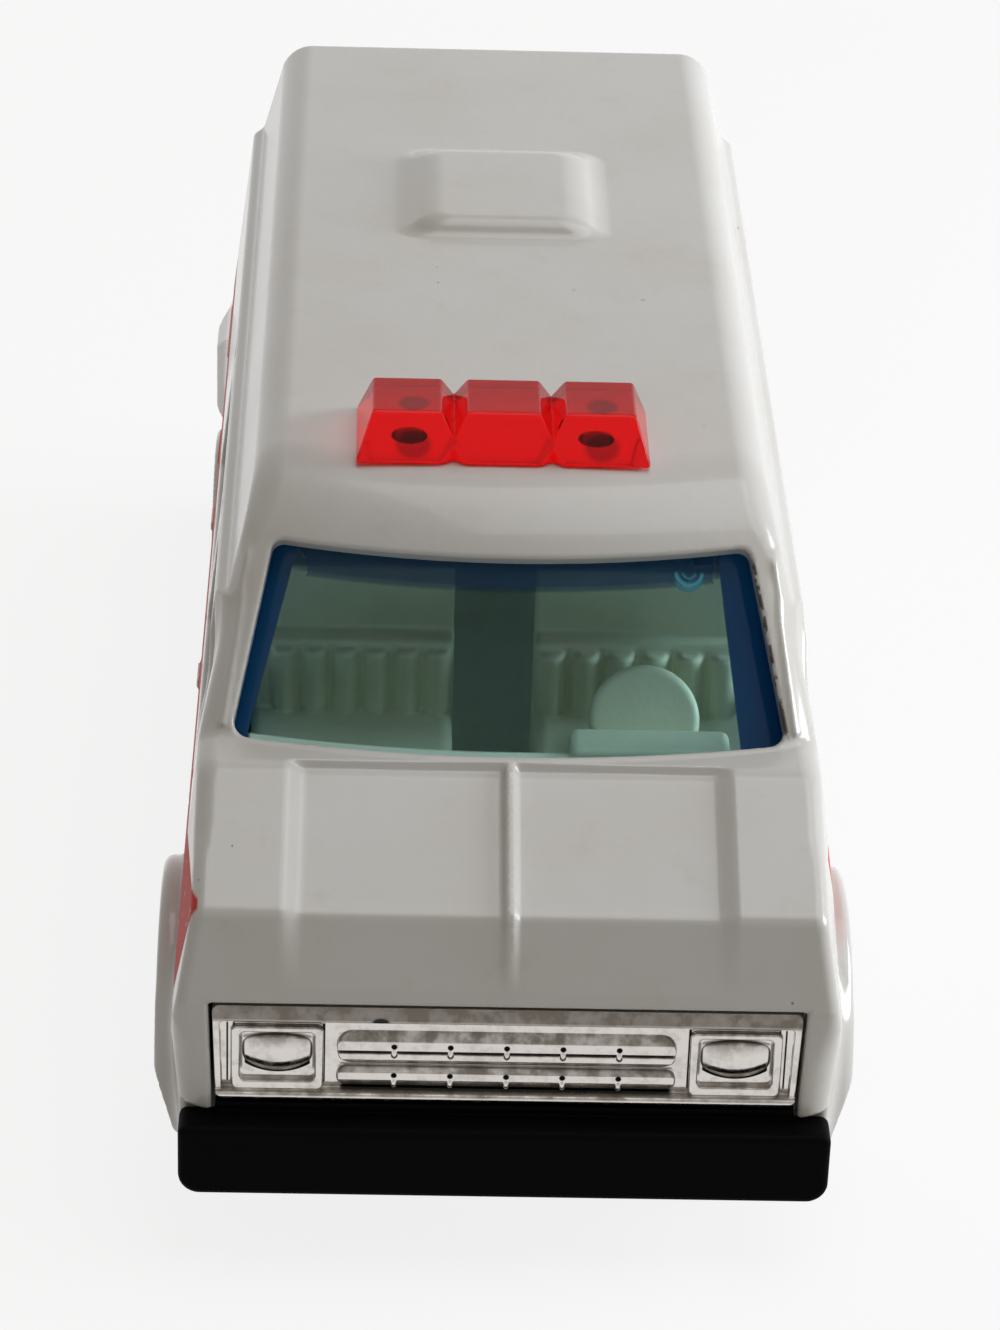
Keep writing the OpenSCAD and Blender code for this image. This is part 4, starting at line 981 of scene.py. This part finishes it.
def nut_ring():
    """Geometry Nodes tree: a ring of small nuts that face along X."""
    tree = bpy.data.node_groups.new("nut_ring", "GeometryNodeTree")
    tree.interface.new_socket("Geometry", in_out="OUTPUT", socket_type="NodeSocketGeometry")
    for name, kind in (("Count", "Int"), ("Ring Radius", "Float"), ("Nut Radius", "Float"), ("Nut Height", "Float"),
                       ("Centre", "Vector"), ("Finish", "Material")):
        tree.interface.new_socket(name, in_out="INPUT", socket_type="NodeSocket" + kind)

    def node(kind, settings=None, **links):
        made = tree.nodes.new(kind)
        for key, value in (settings or {}).items():
            setattr(made, key, value)
        for key, value in links.items():
            socket = next(s for s in made.inputs if s.enabled and s.name.replace(" ", "_") == key)
            if hasattr(value, "is_output"):
                tree.links.new(value, socket)
            else:
                socket.default_value = value
        return made.outputs

    given = node("NodeGroupInput")
    ring = node("GeometryNodeMeshCircle", {}, Vertices=given["Count"], Radius=given["Ring Radius"])["Mesh"]
    nut = node("GeometryNodeMeshCone", {"fill_type": "NGON"}, Vertices=6, Radius_Top=given["Nut Radius"],
               Radius_Bottom=given["Nut Radius"], Depth=given["Nut Height"])["Mesh"]
    nuts = node("GeometryNodeInstanceOnPoints", {}, Points=ring, Instance=nut)["Instances"]
    whole = node("GeometryNodeRealizeInstances", {}, Geometry=nuts)["Geometry"]
    turned = node("GeometryNodeTransform", {}, Geometry=whole, Rotation=(0, math.pi / 2, 0),
                  Translation=given["Centre"])["Geometry"]
    finished = node("GeometryNodeSetMaterial", {}, Geometry=turned, Material=given["Finish"])["Geometry"]
    node("NodeGroupOutput", {}, Geometry=finished)
    return tree


def from_tree(name, tree, **values):
    """The plain mesh that a tree makes with these inputs."""
    mesh = bpy.data.meshes.new(name)
    obj = bpy.data.objects.new(name, mesh)
    bpy.context.collection.objects.link(obj)
    modifier = obj.modifiers.new("tree", "NODES")
    modifier.node_group = tree
    for socket in tree.interface.items_tree:
        if socket.in_out == "INPUT":
            modifier[socket.identifier] = values[socket.name.replace(" ", "_")]
    result = bpy.data.meshes.new_from_object(obj.evaluated_get(bpy.context.evaluated_depsgraph_get()))
    obj.modifiers.remove(modifier)
    bpy.data.objects.remove(obj)
    bpy.data.meshes.remove(mesh)
    return result


# Rear doors and springs

def left_door(x, y, z):
    leaf = block(x, y, z, (0.15, 34.0, 8.5), (HINGE_X, 35.2, 25.0), 0.15)
    knuckle = post(x, y, z, (HINGE_X, HINGE_Y), 8.5, 25.0, 0.6, 0.1)
    pin = post(x, y, z, (HINGE_X, HINGE_Y), 7.6, 25.9, 0.45, 0.1)
    handle = block(x, y, z, (0.5, 34.8, 13.4), (2.2, 35.55, 13.9), 0.15)
    panel = ridge(np.abs(plate(x, z, (1.2, 9.6), (9.4, 12.6), 0.5)), 0.17) * 0.12 * smooth(y, 34.6, 34.9)
    door = join(0.05, np.minimum(leaf + panel, knuckle), handle)
    window = plate(x, z, (2.0, 15.6), (8.6, 22.2), 0.8)
    rebate = np.maximum(plate(x, z, (1.3, 14.9), (9.3, 22.9), 0.8), y - 34.57)
    return np.minimum(cut(0.12, door, np.minimum(window, rebate)), pin)


def left_door_pane(x, y, z):
    return meet(0.08, plate(x, z, (1.35, 14.95), (9.25, 22.85), 0.8), np.abs(y - 34.275) - 0.275)


def leaf_strip(name, axle_y, side):
    """A bent steel strip from its pad to the axle, with both faces and closed edges."""
    half, thick, bends = 1.5, 0.25, 6
    bend = [(0.4 + 4.6 * k / bends, 5.93 + 0.47 * k / bends) for k in range(bends + 1)]
    path = [(-1.4, 6.23), (-0.8, 5.93), *bend, (7.4, 6.4)]
    section = [(-half, 0), (half, 0), (half, thick), (-half, thick)]
    rows = [(x, axle_y + side * y, z + t) for y, z in path for x, t in section]
    faces = [(4 * i + j, 4 * i + (j + 1) % 4, 4 * i + 4 + (j + 1) % 4, 4 * i + 4 + j)
             for i in range(len(path) - 1) for j in range(4)]
    faces += [(3, 2, 1, 0), tuple(len(rows) - 4 + j for j in range(4))]
    if side < 0:
        faces = [face[::-1] for face in faces]
    return new_mesh(name, np.array(rows) * MM, np.array(faces))


# The van

enamel, glass, red, plating = white_enamel(), tinted_clear(), red_clear(), bright_plating()
nose_metal, cream, black = nose_plating(), cream_moulding(), black_moulding()
steel, rubber = drawn_steel(), tyre_moulding()

piece("body_casting", surface(body_casting, (-15.3, -35.0, 4.5), (15.3, 35.4, 29.4), 0.17),
      enamel, "van", "white_paint", "body_shell")
piece("window_moulding", surface(window_moulding, (-13.1, -27, 12.4), (13.1, 8, 27.4), 0.15),
      glass, "van", "tinted_glazing", "glazing")
piece("lamp_bar", surface(lamp_bar, (-7.1, -15.6, 25.3), (6.3, -9.6, 30.7), 0.09),
      red, "van", "red_lens", "light_bar")
piece("plated_nose", surface(plated_nose, (-12.7, -34.95, 7.5), (12.7, -33.3, 12.4), 0.05),
      nose_metal, "van", "plated_plastic", "grille_insert")
piece("cab_floor", surface(cab_floor, (-11.8, -25.3, 7.2), (11.8, 30.0, 22.4), 0.18),
      cream, "van", "cream_plastic", "interior_tub")
piece("base_moulding", surface(base_moulding, (-14.1, -36.3, 3.5), (14.1, 36.3, 7.6), 0.14),
      black, "van", "black_plastic", "baseplate")

tyre_shape = surface(tyre_ring, (10.9, -30.6, -0.1), (14.6, -19.8, 10.7), 0.1)
hub_shape = surface(hub_disc, (10.7, -28.7, 1.8), (14.1, -21.7, 8.8), 0.08)
nuts = nut_ring()
for end, axle_y in (("front", FRONT_AXLE_Y), ("rear", REAR_AXLE_Y)):
    for hand, side in (("left", 1), ("right", -1)):
        wheel = f"{end}_{hand}"
        at = (0, axle_y - FRONT_AXLE_Y, 0)
        piece(f"wheel_tyre_{wheel}", moved(tyre_shape, at, side < 0), rubber, f"wheel_{wheel}", "tyre",
              f"tyre_{wheel}")
        piece(f"wheel_hub_{wheel}", moved(hub_shape, at, side < 0), plating, f"wheel_{wheel}", "plated_plastic",
              f"hub_{wheel}")
        ring = from_tree(f"wheel_nuts_{wheel}", nuts, Count=5, Ring_Radius=1.25 * MM, Nut_Radius=0.16 * MM,
                         Nut_Height=0.24 * MM, Centre=(side * 13.83 * MM, axle_y * MM, AXLE_Z * MM), Finish=plating)
        placed(f"wheel_nuts_{wheel}", ring, plating, f"wheel_{wheel}", "plated_plastic")

door_shape = surface(left_door, (0.0, 33.9, 7.5), (11.0, 35.7, 26.0), 0.1)
pane_shape = surface(left_door_pane, (1.2, 33.9, 14.8), (9.4, 34.7, 23.0), 0.1)
for hand, side in (("left", 1), ("right", -1)):
    piece(f"door_casting_{hand}", moved(door_shape, mirrored=side < 0), enamel, f"door_{hand}", "white_paint",
          f"rear_door_{hand}")
    piece(f"door_pane_{hand}", moved(pane_shape, mirrored=side < 0), glass, f"door_{hand}", "tinted_glazing",
          f"rear_door_glass_{hand}")

for end, axle_y, side in (("front", FRONT_AXLE_Y, 1), ("rear", REAR_AXLE_Y, -1)):
    strip = bpy.data.objects.new(f"leaf_{end}", leaf_strip(f"leaf_{end}", axle_y, side))
    strip.data.materials.append(steel)
    bpy.context.collection.objects.link(strip)
    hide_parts(f"{end}_spring")
    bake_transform(strip)
for node in ("front_axle", "rear_axle", "rivets"):
    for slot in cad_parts[node].material_slots:
        slot.material = steel


# Studio

def studio_floor():
    f = Finish("studio_floor")
    matt = f.surface(Base_Color=(0.9, 0.9, 0.9, 1), Roughness=0.9)
    white = f.node("ShaderNodeEmission", {}, Color=(1, 1, 1, 1), Strength=1.0)["Emission"]
    return f.done(f.layer(f.seen(0.85), matt, white))


def studio_world():
    world = bpy.data.worlds.new("studio_world")
    world.use_nodes = True
    nodes = Nodes(world.node_tree)
    soft = nodes.node("ShaderNodeBackground", {}, Color=(1.0, 0.86, 0.7, 1), Strength=0.16)["Background"]
    white = nodes.node("ShaderNodeBackground", {}, Color=(1, 1, 1, 1), Strength=1.0)["Background"]
    nodes.node("ShaderNodeOutputWorld", {}, Surface=nodes.layer(nodes.seen(1.0), soft, white))
    bpy.context.scene.world = world


def stand(name, data, at, right, up, back):
    """Puts an object at a point, with its own axes along three directions."""
    obj = bpy.data.objects.new(name, data)
    bpy.context.collection.objects.link(obj)
    obj.matrix_world = Matrix([[*row, p] for row, p in zip(np.stack([right, up, back], 1), at)] + [[0, 0, 0, 1]])
    return obj


def softbox(name, at, towards, size, power, colour):
    light = bpy.data.lights.new(name, "AREA")
    light.shape, light.size, light.size_y = "RECTANGLE", *size
    light.energy, light.color = power, colour
    away = np.array(at) - np.array(towards)
    back = away / np.linalg.norm(away)
    right = np.cross((0, 0, 1), back)
    right = right / np.linalg.norm(right)
    stand(name, light, at, right, np.cross(back, right), back)


def photo_camera():
    """The photograph's viewpoint, from a camera fitted to its edges; lengths in pixels give the lens."""
    focal, height, sensor = 4459.9, 1330, 36
    yaw, pitch, roll = (math.radians(a) for a in (1.846, 29.185, 1.979))
    ahead = np.array([math.sin(yaw) * math.cos(pitch), math.cos(yaw) * math.cos(pitch), -math.sin(pitch)])
    right = np.array([math.cos(yaw), -math.sin(yaw), 0.0])
    up = np.cross(right, ahead)
    across = right * math.cos(roll) + up * math.sin(roll)
    upright = up * math.cos(roll) - right * math.sin(roll)
    camera = bpy.data.cameras.new("photo_camera")
    camera.sensor_width, camera.lens = sensor, sensor * focal / height
    camera.clip_start, camera.clip_end = 0.01, 10
    at = np.array([-5.963, -192.658, 117.425]) * MM
    bpy.context.scene.camera = stand("photo_camera", camera, at, across, upright, -ahead)


floor_corners = np.array([(-2, -2, 0), (2, -2, 0), (2, 2, 0), (-2, 2, 0)])
floor_mesh = new_mesh("studio_floor", floor_corners, np.array([(0, 1, 2, 3)]))
floor_mesh.materials.append(studio_floor())
floor = bpy.data.objects.new("studio_floor", floor_mesh)
bpy.context.collection.objects.link(floor)
studio_world()
softbox("overhead_softbox", (0.14, 0.02, 0.5), (0, 0, 0), (0.4, 0.4), 1.0, (0.98, 0.99, 1.0))
softbox("window_softbox", (0.25, 0.02, 0.09), (0, 0, 0.015), (0.12, 0.12), 0.52, (0.92, 0.96, 1.0))
photo_camera()
bpy.context.scene.view_settings.view_transform = "Standard"
